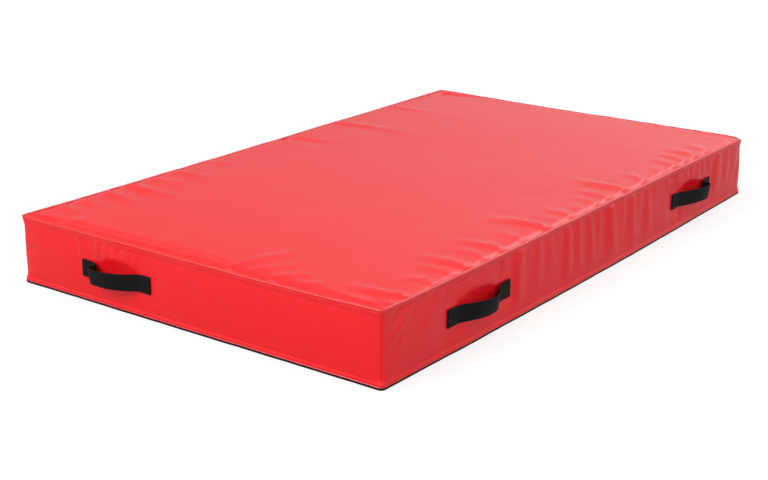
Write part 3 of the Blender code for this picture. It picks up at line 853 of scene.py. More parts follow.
# %% Folds of the walls
WALL_RIDGES = {
    # how far along and how high it starts, the same for its end, its half width and its height
    "front": [
        (-0.600, 0.100, -0.535, 0.101, 0.010, -0.0042),
        (-0.600, 0.138, -0.550, 0.142, 0.010, -0.0029),
        (-0.375, 0.178, -0.362, 0.118, 0.012, 0.0020),
        (-0.306, 0.178, -0.310, 0.118, 0.010, 0.0025),
        (-0.272, 0.178, -0.276, 0.118, 0.010, 0.0022),
        (-0.236, 0.178, -0.245, 0.118, 0.010, 0.0029),
        (-0.200, 0.178, -0.212, 0.118, 0.011, 0.0022),
        (-0.162, 0.178, -0.178, 0.120, 0.011, 0.0015),
        (0.020, 0.180, 0.090, 0.090, 0.018, 0.0020),
        (0.100, 0.180, 0.150, 0.100, 0.015, 0.0015),
    ],
    "right": [
        (-0.900, 0.186, -0.992, 0.120, 0.012, -0.0042),
        (-0.880, 0.176, -0.980, 0.096, 0.010, 0.0025),
        (-0.930, 0.120, -0.990, 0.060, 0.012, -0.0029),
        (-0.760, 0.176, -0.870, 0.060, 0.022, 0.0022),
        (-0.724, 0.180, -0.735, 0.120, 0.013, 0.0015),
        (-0.500, 0.180, -0.512, 0.122, 0.010, -0.0032),
        (-0.404, 0.184, -0.452, 0.020, 0.024, 0.0071),
        (-0.322, 0.184, -0.330, 0.030, 0.020, 0.0029),
        (-0.262, 0.184, -0.256, 0.060, 0.018, 0.0020),
        (-0.170, 0.186, -0.176, 0.008, 0.019, 0.0057),
        (-0.110, 0.184, -0.112, 0.020, 0.016, 0.0039),
        (-0.048, 0.184, -0.040, 0.010, 0.018, 0.0045),
        (0.006, 0.184, -0.006, 0.030, 0.015, 0.0029),
        (0.076, 0.186, 0.070, 0.010, 0.025, 0.0087),
        (0.148, 0.180, 0.146, 0.060, 0.014, 0.0015),
        (0.202, 0.186, 0.206, 0.010, 0.023, 0.0055),
        (0.248, 0.170, 0.236, 0.040, 0.014, 0.0015),
        (0.298, 0.186, 0.306, 0.020, 0.020, 0.0045),
        (0.352, 0.184, 0.345, 0.080, 0.016, 0.0025),
        (0.428, 0.186, 0.456, 0.090, 0.018, 0.0029),
        (0.486, 0.186, 0.488, 0.118, 0.007, -0.0035),
        (0.528, 0.070, 0.503, 0.010, 0.014, -0.0035),
        (0.566, 0.182, 0.570, 0.122, 0.011, 0.0020),
        (0.602, 0.182, 0.604, 0.118, 0.011, 0.0032),
        (0.648, 0.182, 0.650, 0.118, 0.012, 0.0032),
        (0.690, 0.182, 0.688, 0.118, 0.012, 0.0029),
        (0.732, 0.182, 0.738, 0.110, 0.012, 0.0020),
        (0.806, 0.186, 0.778, 0.030, 0.023, 0.0048),
        (0.876, 0.184, 0.858, 0.050, 0.018, 0.0025),
        (0.975, 0.160, 0.938, 0.030, 0.018, -0.0032),
    ],
}
print({side: len(ridges) for side, ridges in WALL_RIDGES.items()}, "folds")

# %% Where the handles hold the walls
WALL_BELLY = 0.0015
STITCH_DROP = 0.0105
HANDLE_HEIGHT = 0.094
# the middle of each handle along its wall, and how far it reaches to both sides
HANDLE_SPANS = {"front": [(-0.239, 0.125)], "right": [(-0.604, 0.142), (0.600, 0.136)]}
for table in (WALL_RIDGES, HANDLE_SPANS):
    table["back"] = table["front"]
    table["left"] = table["right"]


def tab_hold(side, along, height):
    """How firmly the sewn handle holds the wall to its place here, from 0 to 1."""
    hold = 0
    for middle, reach in HANDLE_SPANS[side]:
        for end in (-1, 1):
            past = max(abs(along - middle - end * (reach - 0.018)) - 0.022, 0)
            away = max(abs(height - HANDLE_HEIGHT) - 0.025, 0)
            hold = max(hold, 1 - smooth(math.hypot(past, away) / 0.030))
    return hold


print("hold at the front handle's end", tab_hold("front", -0.34, HANDLE_HEIGHT))


# %% Face of a wall
def wall_end(side):
    """How far along a side its wall runs, measured on the wall's face: to the middle of the corner."""
    return half_side(side) - CORNER_RADIUS + (CORNER_RADIUS - WALL_SET_BACK) * math.pi / 4


def wall_out(side, along, height):
    """How far the wall's face stands outside its set-back line."""
    share = (height - WALL_FOOT) / (WALL_HEAD - WALL_FOOT)
    belly = WALL_BELLY * math.sin(math.pi * min(max(share, 0), 1))
    folds = sum(ridge_height(along, height, ridge, 0.45) for ridge in WALL_RIDGES[side])
    from_seam = max(min(WALL_HEAD - height, height - WALL_FOOT), 0)
    folds *= smooth((from_seam + 0.001) / 0.012)
    if height > SEAM_HEIGHT / 2:
        roll = 0.0015 * (1 - smooth((from_seam - 0.003) / 0.007))
        groove = -0.0005 * math.exp(-(((from_seam - STITCH_DROP) / 0.0012) ** 2))
    else:
        roll = 0.0028 * (1 - smooth(from_seam / 0.012))
        groove = 0
    high_out = seam_sway(side, along, True)[0]
    low_out = seam_sway(side, along, False)[0]
    free = 1 - tab_hold(side, along, height)
    share = min(max(share, 0), 1)
    sway = high_out * share**2 + low_out * (1 - share) ** 2.2
    hollow = 0
    for middle, reach in HANDLE_SPANS[side]:
        across = (along - middle) / (reach * 0.55)
        rise = (height - HANDLE_HEIGHT - 0.004) / 0.030
        hollow -= 0.0036 * math.exp(-(across**4) - rise**4)
    end = wall_end(side) - abs(along)
    folds *= smooth(end / 0.016)
    seam = -0.0004 * math.exp(-((end / 0.0012) ** 2))
    seam -= 0.0038 * max(1 - end / 0.027, 0) ** 2 * smooth(from_seam / 0.025)
    if side in ("right", "left"):
        seam -= 0.0005 * math.exp(-(((end - 0.013) / 0.0012) ** 2))
    return belly + (folds + hollow + sway) * free + roll + groove + seam


def on_wall(side, along, height, depth=0):
    """A point of the wall's face, or this deep behind it. Its edges are tucked in behind the beads."""
    share = (height - WALL_FOOT) / (WALL_HEAD - WALL_FOOT)
    tucked = max(height - WALL_HEAD - 0.0004, WALL_FOOT + 0.0015 - height, 0)
    depth += 0.0035 * min(tucked / 0.004, 1) ** 1.5
    inset = WALL_SET_BACK - wall_out(side, along, height) + depth
    point = round_side(side, along, inset, height)
    share = min(max(share, 0), 1)
    point.z += seam_sway(side, along, True)[1] * share + corner_lift(point.x, point.y) * share**2
    return point


print("middle of the right wall", tuple(round(v, 4) for v in on_wall("right", 0, 0.1)))

# %% Make the walls
WALL_PRESSURE = 12.0
WALL_MASS = 0.1
WALL_SWELL = 0.002
TUCK = 0.002


def wall(name, side, replaced, low=WALL_FOOT - TUCK, high=WALL_HEAD + TUCK):
    """A wall panel from low to high, swollen by the foam between its seams."""
    end = wall_end(side) - CLEARANCE / 20
    alongs = spread(-end, end, 0.0015, 0.006, 0.05)
    heights = spread(low, high, 0.0012, 0.006, 0.035)
    bm = grid_mesh(name, alongs, heights, lambda along, height: on_wall(side, along, height))
    piece = add_piece(name, bm, coated_red)

    def sewn(point):
        local = facing_side(side, point)
        near_edge = local.z > high - 0.014 or local.z < low + 0.014
        return near_edge or end - abs(local.x) < 0.020 or tab_hold(side, local.x, local.z) > 0.3

    swell(piece, sewn, WALL_SWELL, WALL_PRESSURE, WALL_MASS)
    thicken(piece, FABRIC)
    stand_in(piece, replaced)
    2 * end
    return piece


walls = [wall(f"wall_{side}_panel", side, f"wall_{side}") for side in ("front", "right", "left")]
zip_low, zip_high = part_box("wall_back_lower")[1].z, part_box("wall_back_upper")[0].z
walls.append(wall("wall_back_upper_panel", "back", "wall_back_upper", low=zip_high))
walls.append(wall("wall_back_lower_panel", "back", "wall_back_lower", high=zip_low))
print("walls", [len(piece.data.polygons) for piece in walls])

# %% [markdown]
# ## Tapes inside the cover
#
# A seam that takes a load has a tape behind it, and so has a handle. These tapes lie on the inside of
# the walls. Flat strips would cut through the walls' folds, so the function that places the wall's face
# places them too, a little deeper.


# %% Tapes behind the walls
def lining(name, run, low, high, material, replaced, depth=FABRIC + CLEARANCE, thickness=FABRIC):
    """A tape behind the walls, from low to high. Its run lists each side that it passes, with where."""
    places = []
    for side, start, end in run:
        step = 0.006 if end - start > 0.05 else 0.002
        places += [(side, along) for along in even(start, end, step)]
    heights = even(low, high, 0.006)

    def on_lining(number, height):
        side, along = places[int(number)]
        return on_wall(side, along, height, depth)

    bm = grid_mesh(name, list(range(len(places))), heights, on_lining)
    piece = add_piece(name, bm, material)
    thicken(piece, thickness)
    stand_in(piece, replaced)


CORNERS = [("front", "right"), ("right", "back"), ("back", "left"), ("left", "front")]
TAPE_REACH = 0.020
TAPE_DEPTH = 0.0030
TAPE_GAP = 0.0002
for number in range(1, 5):
    tape_low, tape_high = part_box(f"corner_tape_{number}")
    middle = (tape_low + tape_high) / 2
    at_corner = {pair: round_side(pair[0], half_side(pair[0]), 0, middle.z) for pair in CORNERS}
    first, second = next(pair for pair, spot in at_corner.items() if (spot - middle).length < 0.1)
    start = {side: wall_end(side) - TAPE_REACH for side in (first, second)}
    if "back" in start:
        start["back"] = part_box("zip_tape_upper")[1].x + CLEARANCE
    run = [(first, start[first], wall_end(first) - TAPE_GAP)]
    run.append((second, TAPE_GAP - wall_end(second), -start[second]))
    lining(
        f"corner_backing_{number}", run, tape_low.z, tape_high.z, seam_tape_red,
        f"corner_tape_{number}", depth=TAPE_DEPTH,
    )
print("corner tapes", tuple(round(v, 3) for v in tape_low), tuple(round(v, 3) for v in tape_high))

# %% [markdown]
# ## The webbing
#
# Webbing is woven in one width, with a firmer selvedge along both edges. A thickened strip wouldn't show
# that, so the section is drawn once, as places across the band and out of its face, and a grid carries
# it along a line. The line is a list of stations, each with a point, the way across and the way out, so
# the same function makes flat, folded and bowed webbing.

# %% Webbing helpers
STRAP_WIDTH = 0.046
STRAP_THICKNESS = 0.0022


def webbing_section():
    """Points round the webbing's section: how far across from its middle, and how far out."""
    half, thick = STRAP_WIDTH / 2, STRAP_THICKNESS / 2
    rim = [(0.0, 0.0), (0.0002, 0.55), (0.0006, 0.88), (0.0013, 1.0), (0.0023, 0.97), (0.0029, 0.72)]
    rim += [(0.0035, 0.97), (0.006, 1.0), (0.014, 1.0)]
    face = [(inward - half, share * thick) for inward, share in rim]
    face += [(0, thick)] + [(-across, out) for across, out in reversed(face)]
    return face + [(across, -out) for across, out in reversed(face[1:-1])]


def band(name, stations):
    """A closed length of webbing through the stations. Its UV runs round the section and along it."""
    section = webbing_section()
    turns, runs = [0], [0]
    for (a0, o0), (a1, o1) in zip(section, section[1:] + section[:1]):
        turns.append(turns[-1] + math.hypot(a1 - a0, o1 - o0))
    for before, after in zip(stations, stations[1:]):
        runs.append(runs[-1] + (after[0] - before[0]).length)
    corner = dict(zip(turns, section + section[:1]))
    station = dict(zip(runs, stations))

    def on_band(turn, run):
        (across, out), (middle, across_way, out_way) = corner[turn], station[run]
        return middle + across_way * across + out_way * out

    bm = grid_mesh(name, turns, runs, on_band)
    seal(bm, ends=True)
    return add_piece(name, bm, webbing_black, smooth_angle=50)


print("section points", len(webbing_section()))

# %% [markdown]
# ## Stitches
#
# A row of stitches is many small bodies of thread. A line in the material could stand for it, but from
# near it would look painted on. One stitch is a stretched ball with few faces, because it is repeated by
# the thousand. The rows are lists of points with the way out of the fabric at each one.


# %% Stitches
def stitches(name, rows, material, body="mat", pitch=0.0036, length=0.0027, width=0.0006):
    """Rows of stitches. Each row is a list of (point, way out) pairs, close together."""
    bm, single = bmesh.new(), bmesh.new()
    bmesh.ops.create_icosphere(single, subdivisions=1, radius=1)
    stitch = bpy.data.meshes.new("stitch")
    single.to_mesh(stitch)
    single.free()
    count = 0
    for row in rows:
        left = pitch / 2
        for (start, out), (stop, _) in zip(row, row[1:]):
            step = stop - start
            if step.length == 0:
                continue
            while left <= step.length:
                heading, rise = step.normalized(), out.normalized()
                across = heading.cross(out).normalized()
                axes = (heading * length / 2, across * width / 2, rise * width * 0.35)
                spot = Matrix.Translation(start + heading * left + rise * width * 0.12)
                spot = spot @ Matrix(axes).transposed().to_4x4()
                stitch.transform(spot)
                bm.from_mesh(stitch)
                stitch.transform(spot.inverted())
                count += 1
                left += pitch
            left -= step.length
    piece = add_piece(name, bm, material)
    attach(piece, body)
    print(name, count, "stitches")


def wall_row(side, start, end, height):
    """A row of stitch places along a wall."""
    places = [on_wall(side, along, height) for along in even(start, end, 0.004)]
    out = turn_of(side) @ Vector((0, -1, 0))
    return [(place, out) for place in places]


TOPSTITCH_END = 0.016
for level, height in (("top", WALL_HEAD - STITCH_DROP), ("bottom", WALL_FOOT + STITCH_DROP)):
    sewn_sides = [side for side in SIDES if level == "top" or side != "back"]
    ends = {side: wall_end(side) - TOPSTITCH_END for side in sewn_sides}
    rows = [wall_row(side, -end, end, height) for side, end in ends.items()]
    stitches(f"topstitching_{level}", rows, thread_red)

# %% [markdown]
# ## The handles
#
# A handle is one length of webbing with both ends folded under and sewn down flat. Between them it
# stands off the wall in a bow, so a hand fits behind it. The bow swings up when the mat is lifted. An
# arc would be too even for it, so its line is two Bezier curves, one that climbs to the crest and one
# that falls, and each handle of the photograph has its own crest and fold.

# %% Handle shapes
from mathutils.geometry import interpolate_bezier

SEWN_LENGTH = 0.041
FOLD_SHORTFALL = 0.006
BOW_LEAD = 0.002
UNDER_LAYER = CLEARANCE + STRAP_THICKNESS / 2
UPPER_LAYER = UNDER_LAYER + STRAP_THICKNESS + CLEARANCE
HANDLES = {
    # side, middle, direction, length, sewn length of the far end,
    # then the bow's shape: where its crest lies along it, and how far it is folded over, from 0 to 1
    "front": ("front", -0.239, -1, 0.245, 0.027, 0.60, 0.76),
    "right_1": ("right", -0.604, 1, 0.279, 0.041, 0.56, 0.0),
    "right_2": ("right", 0.600, 1, 0.266, 0.041, 0.72, 0.25),
}
HANDLES["back"] = ("back", *HANDLES["front"][1:])
HANDLES["left_1"] = ("left", *HANDLES["right_1"][1:])
HANDLES["left_2"] = ("left", *HANDLES["right_2"][1:])
print(len(HANDLES), "handles")


# %% Bow of a handle
BOW_RISE = 0.036
BOW_DROOP = 0.002
BOW_LEAN = math.radians(9)
CURVE_POINTS = 20


def bow_stations(length, far_sewn, crest_share, fold):
    """The stations of the free strap, in the handle's own axes: X along, Y out of the wall, Z up."""
    rise = BOW_RISE + 0.006 * fold - UPPER_LAYER
    first = SEWN_LENGTH + CLEARANCE - length / 2
    last = length / 2 - far_sewn - CLEARANCE
    start, end = first + BOW_LEAD, last - BOW_LEAD
    run = end - start
    crest = start + run * crest_share

    def at(along, share):
        return Vector((along, UPPER_LAYER + rise * share, 0))

    climb = interpolate_bezier(
        at(start, 0),
        at(start + run * 0.15, 0.2 + 0.4 * fold),
        at(crest - run * 0.26, 0.97),
        at(crest, 1),
        CURVE_POINTS,
    )
    fall = interpolate_bezier(
        at(crest, 1),
        at(crest + run * (0.24 + 0.37 * fold), 1.03),
        at(end - run * (0.17 + 0.36 * fold), 0.08),
        at(end, 0),
        CURVE_POINTS,
    )
    line = [at(first, 0), *climb, *fall[1:], at(last, 0)]
    stations = []
    for i, point in enumerate(line):
        heading = line[min(i + 1, len(line) - 1)] - line[max(i - 1, 0)]
        if i in (0, len(line) - 1):
            heading = Vector((1, 0, 0))
        sway = (point.y - UPPER_LAYER) / rise
        lean = BOW_LEAN * sway
        across = Vector((0, math.sin(lean), math.cos(lean)))
        droop = Vector((0, 0, BOW_DROOP * sway))
        stations.append((point - droop, across, across.cross(heading).normalized()))
    return stations


print("front bow", len(bow_stations(*HANDLES["front"][3:])), "stations")


# %% Sewn ends of a handle
def tab_stations(length, sewn, hand):
    """The stations of one sewn end, from its inner edge out, round the fold and back under itself."""
    inner, outer = length / 2 - sewn, length / 2
    radius, between = (UPPER_LAYER - UNDER_LAYER) / 2, (UPPER_LAYER + UNDER_LAYER) / 2
    bend = outer - radius - STRAP_THICKNESS / 2
    across = Vector((0, 0, 1))
    stations = [((along, UPPER_LAYER), 90) for along in even(inner, bend, 0.005)]
    for angle in (60, 30, 0, -30, -60):
        turn = math.radians(angle)
        middle = (bend + radius * math.cos(turn), between + radius * math.sin(turn))
        stations.append((middle, angle))
    stations += [((along, UNDER_LAYER), -90) for along in even(bend, inner + FOLD_SHORTFALL, 0.005)]
    result = []
    for (along, out), angle in stations:
        way = Vector((hand * math.cos(math.radians(angle)), math.sin(math.radians(angle)), 0))
        result.append((Vector((hand * along, out, 0)), across, way))
    return result


def to_mat(side, middle, direction):
    """The matrix from a handle's own axes to the mat's."""
    wall_face = WALL_SET_BACK - WALL_BELLY
    place = on_side(side, middle, wall_face, HANDLE_HEIGHT)
    return Matrix.Translation(place) @ turn_of(side).to_4x4() @ Matrix.Diagonal((direction, -1, 1, 1))


print("sewn end", len(tab_stations(HANDLES["front"][3], SEWN_LENGTH, -1)), "stations")

# %% [markdown]
# The strap has to bend where it leaves its sewn end. Swung as one stiff piece it would tear away there,
# so each strap is two pieces that meet in the middle of the bow.

# %% Make the handles
PATCH_MARGIN = 0.010


def placed(stations, matrix):
    """Stations carried from the handle's own axes to the mat's."""
    turn = matrix.to_3x3()
    return [(matrix @ point, turn @ across, turn @ out) for point, across, out in stations]


def tab_rows(length, sewn, hand, matrix):
    """The box of stitches that holds a sewn end down."""
    near, far = hand * (length / 2 - sewn + 0.004), hand * (length / 2 - 0.004)
    half = STRAP_WIDTH / 2 - 0.0045
    face = UPPER_LAYER + STRAP_THICKNESS / 2
    corners = [(near, -half), (near, half), (far, half), (far, -half), (near, -half)]
    out = matrix.to_3x3() @ Vector((0, 1, 0))
    return [(matrix @ Vector((along, face, up)), out) for along, up in corners]


for name, (side, middle, direction, *shape) in HANDLES.items():
    length, far_sewn = shape[:2]
    matrix = to_mat(side, middle, direction)
    bow = placed(bow_stations(*shape), matrix)
    half = len(bow) // 2
    for part, stations in (("near", bow[: half + 1]), ("far", bow[half:])):
        piece = band(f"strap_{name}_{part}", stations)
        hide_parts(f"handle_{name}_strap")
        sewn_at, free = stations[0][0], stations[-1][0]
        if part == "far":
            sewn_at, free = free, sewn_at
        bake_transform(piece)
    for letter, sewn, hand in (("a", SEWN_LENGTH, -1), ("b", far_sewn, 1)):
        tab = band(f"sewn_end_{name}_{letter}", placed(tab_stations(length, sewn, hand), matrix))
        stand_in(tab, f"handle_{name}_end_{letter}")
    rows = [tab_rows(length, SEWN_LENGTH, -1, matrix), tab_rows(length, far_sewn, 1, matrix)]
    stitches(f"handle_stitching_{name}", rows, thread_black)
    patch_low, patch_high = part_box(f"handle_{name}_patch")
    reach = length / 2 + PATCH_MARGIN
    lining(
        f"handle_backing_{name}", [(side, middle - reach, middle + reach)], patch_low.z, patch_high.z,
        seam_tape_red, f"handle_{name}_patch",
    )
print("handles", list(HANDLES))

# %% [markdown]
# ## The base
#
# The underside is a dark fabric that grips the floor. It lies flat and curls up to the bottom bead at
# its edge. A plain rectangle would leave a gap under the long walls, whose foot spreads, so it is a grid
# too, and its long edges spread with them.


# %% Base panel
BASE_EDGE = 0.0068


def base_height(inset):
    """The underside's height at this distance inside the outermost line."""
    return 0.0030 * (1 - smooth((inset - 0.004) / 0.012))


def place_on_base(x, y):
    """A point of the underside. Towards its long edges it spreads out with the foot of the walls."""
    inset = min(WIDTH / 2 - abs(x), LENGTH / 2 - abs(y))
    spread_out = 0
    for side, way in (("right", 1), ("left", -1)):
        local = facing_side(side, Vector((x, y, 0)))
        fade = smooth((0.3 - (local.y + side_reach(side))) / 0.3)
        spread_out += way * foot_spread(side, local.x) * fade
    return Vector((x + spread_out, y, 0.0001 + base_height(inset)))


columns = spread(-WIDTH / 2 + BASE_EDGE, WIDTH / 2 - BASE_EDGE, 0.002, 0.04, 0.10)
rows = spread(-LENGTH / 2 + BASE_EDGE, LENGTH / 2 - BASE_EDGE, 0.002, 0.04, 0.10)
base_bm = grid_mesh("base", columns, rows, place_on_base)
bmesh.ops.reverse_faces(base_bm, faces=base_bm.faces)
base = add_piece("base_panel", base_bm, base_charcoal)
thicken(base, FABRIC)
stand_in(base, "cover_base")
print("base", len(base.data.polygons), "faces")

# %% [markdown]
# The base's edge is wrapped up over the lower half of the bottom bead and sewn into the same seam. The
# base itself could be folded up there, but the turn is tight, so this is a strip of the same fabric,
# carried round the outline like the bead. Its dark cloth is partly painted shadow: it stands for the
# contact shadow along the mat's foot.

# %% Edge of the base
BINDING = 0.0005
BINDING_GAP = 0.0002
places = outline_places(0.010)
# the strip reaches this far up the bead so that its dark cloth shows as painted contact shadow along the
# foot
wrap = [math.radians(angle) for angle in (-125, -105, -85, -65, -45, -25, -10, 2, 10, 16, 22)]


def on_binding(turn, number):
    side, along = places[round(number) % len(places)]
    radius = BEAD_RADIUS + BINDING_GAP
    inset = BEAD_RADIUS - seam_sway(side, along, False)[0] - radius * math.cos(turn)
    return round_side(side, along, inset, LOW_BEAD + radius * math.sin(turn))


bm = grid_mesh("binding", wrap, list(range(len(places) + 1)), on_binding)
seal(bm)
binding = add_piece("base_edge_and_painted_shadow", bm, base_charcoal)
thicken(binding, BINDING, offset=0)
stand_in(binding, "cover_base")
print("base edge", len(binding.data.polygons), "faces")

# %% [markdown]
# ## The foam
#
# Inside lie two layers of foam, glued face to face: a soft block, and above it a thinner, firmer sheet
# that spreads a landing. They could be grids like the cover, but cut foam is a box, so both start as a
# cube with its upright edges rounded. The firm sheet's top is divided and raised to the crown, just
# under the top panel.


# %% Foam blocks
FOAM_INSET = 0.007
FOAM_CORNER = 0.010
FOAM_RIM = 0.009
FOAM_BELOW_COVER = 0.0085


def round_edges(bm, edges, width, segments, clamp=False):
    """Rounds edges over. clamp stops the rounding where two of them would meet."""
    bmesh.ops.bevel(
        bm, geom=edges, offset=width, offset_type="OFFSET", segments=segments, profile=0.5,
        affect="EDGES", material=-1, clamp_overlap=clamp,
    )


def foam_block(name, low, high, material, replaced, crowned):
    """A block of foam between two corners, with its lower rim rounded, or its upper rim and a crown."""
    bm = bmesh.new()
    bmesh.ops.create_cube(bm, size=1)
    size = high - low
    bmesh.ops.scale(bm, vec=size, verts=bm.verts)
    bmesh.ops.translate(bm, vec=(low + high) / 2, verts=bm.verts)
    upright = [edge for edge in bm.edges if abs(edge.verts[0].co.z - edge.verts[1].co.z) > 0.01]
    round_edges(bm, upright, FOAM_CORNER, 5)
    level = high.z if crowned else low.z
    rim = [edge for edge in bm.edges if all(abs(vertex.co.z - level) < 1e-5 for vertex in edge.verts)]
    round_edges(bm, rim, FOAM_RIM, 4)
    if crowned:
        for axis, count in ((Vector((1, 0, 0)), 24), (Vector((0, 1, 0)), 40)):
            for i in range(1, count):
                place = low + (high - low) * i / count
                everything = bm.verts[:] + bm.edges[:] + bm.faces[:]
                bmesh.ops.bisect_plane(bm, geom=everything, plane_co=place, plane_no=axis)
        for vertex in bm.verts:
            share = max(0, (vertex.co.z - level + FOAM_RIM) / FOAM_RIM)
            crown = crown_height(vertex.co.x, vertex.co.y) - FOAM_BELOW_COVER
            vertex.co.z += share * (crown - level)
    bmesh.ops.recalc_face_normals(bm, faces=bm.faces)
    put_in_order(bm)
    piece = stand_in(add_piece(name, bm, material, smooth_angle=40), replaced)
    return piece


print("crown at the firm sheet's rim", round(crown_height(WIDTH / 2 - 0.02, 0), 4))

# %% Make the foam
soft_low, soft_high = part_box("foam_soft_block")
firm_low, firm_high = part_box("foam_firm_layer")
inset = Vector((FOAM_INSET, FOAM_INSET, 0))
firm_rim = crown_height(WIDTH / 2 - 0.02, 0) - FOAM_BELOW_COVER
firm_top = Vector((firm_high.x - FOAM_INSET, firm_high.y - FOAM_INSET, firm_rim))
soft_block = foam_block(
    "soft_foam", soft_low + inset, soft_high - inset, foam_soft, "foam_soft_block", False
)
firm_sheet = foam_block(
    "firm_foam", firm_low + inset, firm_top, foam_firm, "foam_firm_layer", True
)
print("foam", len(soft_block.data.polygons), len(firm_sheet.data.polygons), "faces")

# %% [markdown]
# ## The zip
#
# A coil zip is two woven tapes, each with a nylon thread coiled along its edge, so that the turns of one
# coil lock between those of the other. One turn could be repeated, but its ends would have to meet the
# next one's. So each coil is one long thin tube that turns round and round, with few faces a turn.

# %% Zip tapes
ZIP_TAPE = 0.0006
for node in ("zip_tape_upper", "zip_tape_lower"):
    low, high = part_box(node)
    run = [("back", -high.x, high.x)]
    lining(f"{node}_woven", run, low.z, high.z, zip_tape_black, node, thickness=ZIP_TAPE)
print("zip tapes", round(2 * high.x, 3), "m long")

# %% Zip coils
COIL_PITCH = 0.0016
THREAD = 0.00034
coil_low, coil_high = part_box("zip_coil_upper")
zip_height = (coil_low.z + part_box("zip_coil_lower")[1].z) / 2
coil_middle = (coil_low.y + coil_high.y) / 2
coil_half = (coil_high.y - coil_low.y) / 2


def coil(name, hand, replaced):
    """One coil: hand is 1 above the zip's middle line and -1 below it."""
    turns = int((coil_high.x - coil_low.x - 0.002) / COIL_PITCH)
    head, heel = 0.0004 + THREAD, 0.0030 - THREAD
    waist = 0.6 * head + 0.4 * heel
    loop = [(head, -0.5), (head, 0.5), (waist, 1), (heel, 0.7), (heel, -0.7), (waist, -1)]
    steps = len(loop)
    swing = coil_half - THREAD

    def on_coil(turn, step):
        number = int(round(step))
        z, deep = loop[number % steps]
        before, after = loop[(number - 1) % steps], loop[(number + 1) % steps]
        along = -turns * COIL_PITCH / 2 + COIL_PITCH * (number / steps + (0.5 if hand < 0 else 0))
        out = Vector((0, after[0] - before[0], -(after[1] - before[1]) * swing)).normalized()
        centre = Vector((along, coil_middle + deep * swing, zip_height + hand * z))
        side_way, face_way = Vector((1, 0, 0)), Vector((0, out.y, out.z * hand))
        return centre + side_way * THREAD * math.cos(turn) + face_way * THREAD * math.sin(turn)

    turning = [math.radians(angle) for angle in (0, 90, 180, 270, 360)]
    bm = grid_mesh(name, turning, list(range((turns - 1) * steps)), on_coil)
    seal(bm, ends=True)
    piece = stand_in(add_piece(name, bm, zip_nylon), replaced)
    print(name, turns, "turns", len(piece.data.polygons), "faces")


coil("coil_upper", 1, "zip_coil_upper")
coil("coil_lower", -1, "zip_coil_lower")

# %% [markdown]
# The slider, its pull and the two end stops are right as the frame has them, apart from their sharp
# edges, so nothing has to be drawn again. A CAD mesh is loose triangles. A copy is merged and its flat
# faces joined, and then every sharp edge is bevelled.


# %% Slider, pull and stops
SHARP_ANGLE = 35
ZIP_STITCH_GAP = 0.004


def softened(name, node, body, width):
    """A copy of a metal node with its sharp edges rounded."""
    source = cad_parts[node]
    bm = bmesh.new()
    bm.from_mesh(source.data)
    bmesh.ops.remove_doubles(bm, verts=bm.verts, dist=1e-6)
    bmesh.ops.dissolve_limit(bm, angle_limit=math.radians(3), verts=bm.verts, edges=bm.edges)
    limit = math.radians(SHARP_ANGLE)
    sharp = [edge for edge in bm.edges if edge.is_manifold and edge.calc_face_angle() > limit]
    round_edges(bm, sharp, width, 2, clamp=True)
    stand_in(add_piece(name, bm, zip_metal, smooth_angle=SHARP_ANGLE), node, body)


softened("slider_body", "zip_slider", "zip_slider_body", 0.00025)
softened("pull_tab", "zip_pull", "zip_pull_body", 0.00020)
softened("stop_closed", "zip_stop_closed", "mat", 0.0003)
softened("stop_open", "zip_stop_open", "mat", 0.0003)
zip_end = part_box("zip_tape_lower")[1].x
heights = (zip_high + ZIP_STITCH_GAP, zip_low - ZIP_STITCH_GAP)
zip_rows = [wall_row("back", -zip_end, zip_end, height) for height in heights]
stitches("zip_stitching", zip_rows, thread_red)
print("zip at height", round(zip_height, 4))

# %% [markdown]
# ## Floor and light
#
# A pale floor and a soft studio. One wide lamp would light the mat, but every face of it has its own
# tone and each bead its own line of light, so there are five. The key stands in front. A second one
# further to the left draws the line of light on the front bead. Behind the mat stand a weak small one
# and, further off, a long soft one for the sheen on the far part of the top and for the bead of the
# right edge. The last one fills the right wall.
#
# The floor shows as white to the camera, and still takes the mat's shadow. The room is pale all round
# but for a darker part on the left behind the mat, which keeps that side of the top deep red.

# %% Floor
floor_bm = bmesh.new()
bmesh.ops.create_grid(floor_bm, x_segments=1, y_segments=1, size=30)
floor_mesh = bpy.data.meshes.new("floor")
floor_bm.to_mesh(floor_mesh)
floor_bm.free()
floor = in_scene("floor", floor_mesh)
floor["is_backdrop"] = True
FLOOR_GREY = 0.34
FLOOR_GLOW = 0.70
pale, shader, place = begin("pale_floor", (FLOOR_GREY, FLOOR_GREY, FLOOR_GREY), 0.9)


def grey(value):
    return (value, value, value, 1)


def seen_from(wire):
    """1 for rays from the camera, 0.3 for those that gloss or glass sends on, 0 for the light's own."""
    camera_ray = wire.node("ShaderNodeLightPath", {}, {}, "Is Camera Ray")
    glossy_ray = wire.node("ShaderNodeLightPath", {}, {}, "Is Glossy Ray")
    clear_ray = wire.node("ShaderNodeLightPath", {}, {}, "Is Transmission Ray")
    return (camera_ray + (glossy_ray + clear_ray) * 0.30).maths("MINIMUM", 1)


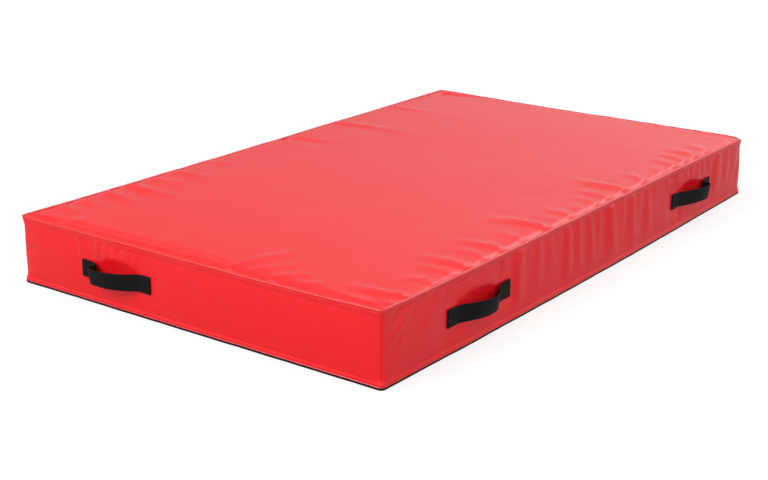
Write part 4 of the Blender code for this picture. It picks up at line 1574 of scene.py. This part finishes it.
seen_from(place).mix(grey(0), grey(FLOOR_GLOW)).into(shader.inputs["Emission Color"])
shader.inputs["Emission Strength"].default_value = 1.0
shader.inputs["Specular IOR Level"].default_value = 0
floor_mesh.materials.append(pale)
print("floor", floor.name)

# %% Lamps
LAMPS = [
    # name, where it stands, where it points, its width and height, its power in watts
    ("key", (-1.1, -4.2, 2.9), (0, -0.3, 0.1), (2.2, 1.5), 78),
    ("edge", (-4.0, -5.0, 3.8), (0.3, -0.9, 0.15), (2.2, 1.6), 24),
    ("rim", (2.6, 4.6, 2.6), (0.5, 0.2, 0.1), (0.8, 0.8), 3),
    ("shine", (0.0, 5.6, 4.8), (0.6, -0.6, 0.2), (0.9, 2.8), 44),
    ("fill", (3.0, -4.6, 1.3), (0.4, -0.8, 0.1), (1.4, 1.0), 28),
]
for name, place, target, size, power in LAMPS:
    data = bpy.data.lights.new(name, "AREA")
    data.shape = "RECTANGLE"
    data.size, data.size_y = size
    data.energy = power
    lamp = in_scene(name, data)
    lamp.location = place
    lamp.rotation_mode = "QUATERNION"
    lamp.rotation_quaternion = (Vector(target) - Vector(place)).to_track_quat("-Z", "Y")
print(len(LAMPS), "lamps")

# %% Room
ROOM_GREY = 0.94
ROOM_DARK = 0.22
world = bpy.data.worlds.new("room")
bpy.context.scene.world = world
world.use_nodes = True
background = world.node_tree.nodes["Background"]
direction = Wire(world.node_tree).node("ShaderNodeTexCoord", {}, {}, "Generated")
turn = math.radians(160)
dark_way = Vector((math.cos(turn), math.sin(turn), 0.18)).normalized()
ways = {0: direction, 1: tuple(dark_way)}
towards = direction.node("ShaderNodeVectorMath", {"operation": "DOT_PRODUCT"}, ways, "Value")
limits = {0: towards, 1: 0.60, 2: 0.97, 3: 0, 4: 1}
shade = towards.node("ShaderNodeMapRange", {"interpolation_type": "SMOOTHSTEP"}, limits)
room = shade.mix(grey(ROOM_GREY), grey(ROOM_DARK))
seen_from(direction).mix(room, grey(1)).into(background.inputs["Color"])
print("world", world.name)

# %% [markdown]
# ## Last lines
#
# The size of the finished mat is printed.

# %% Sizes and finish
low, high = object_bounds()
print("visual", [round(v, 4) for v in (*low, *high)])
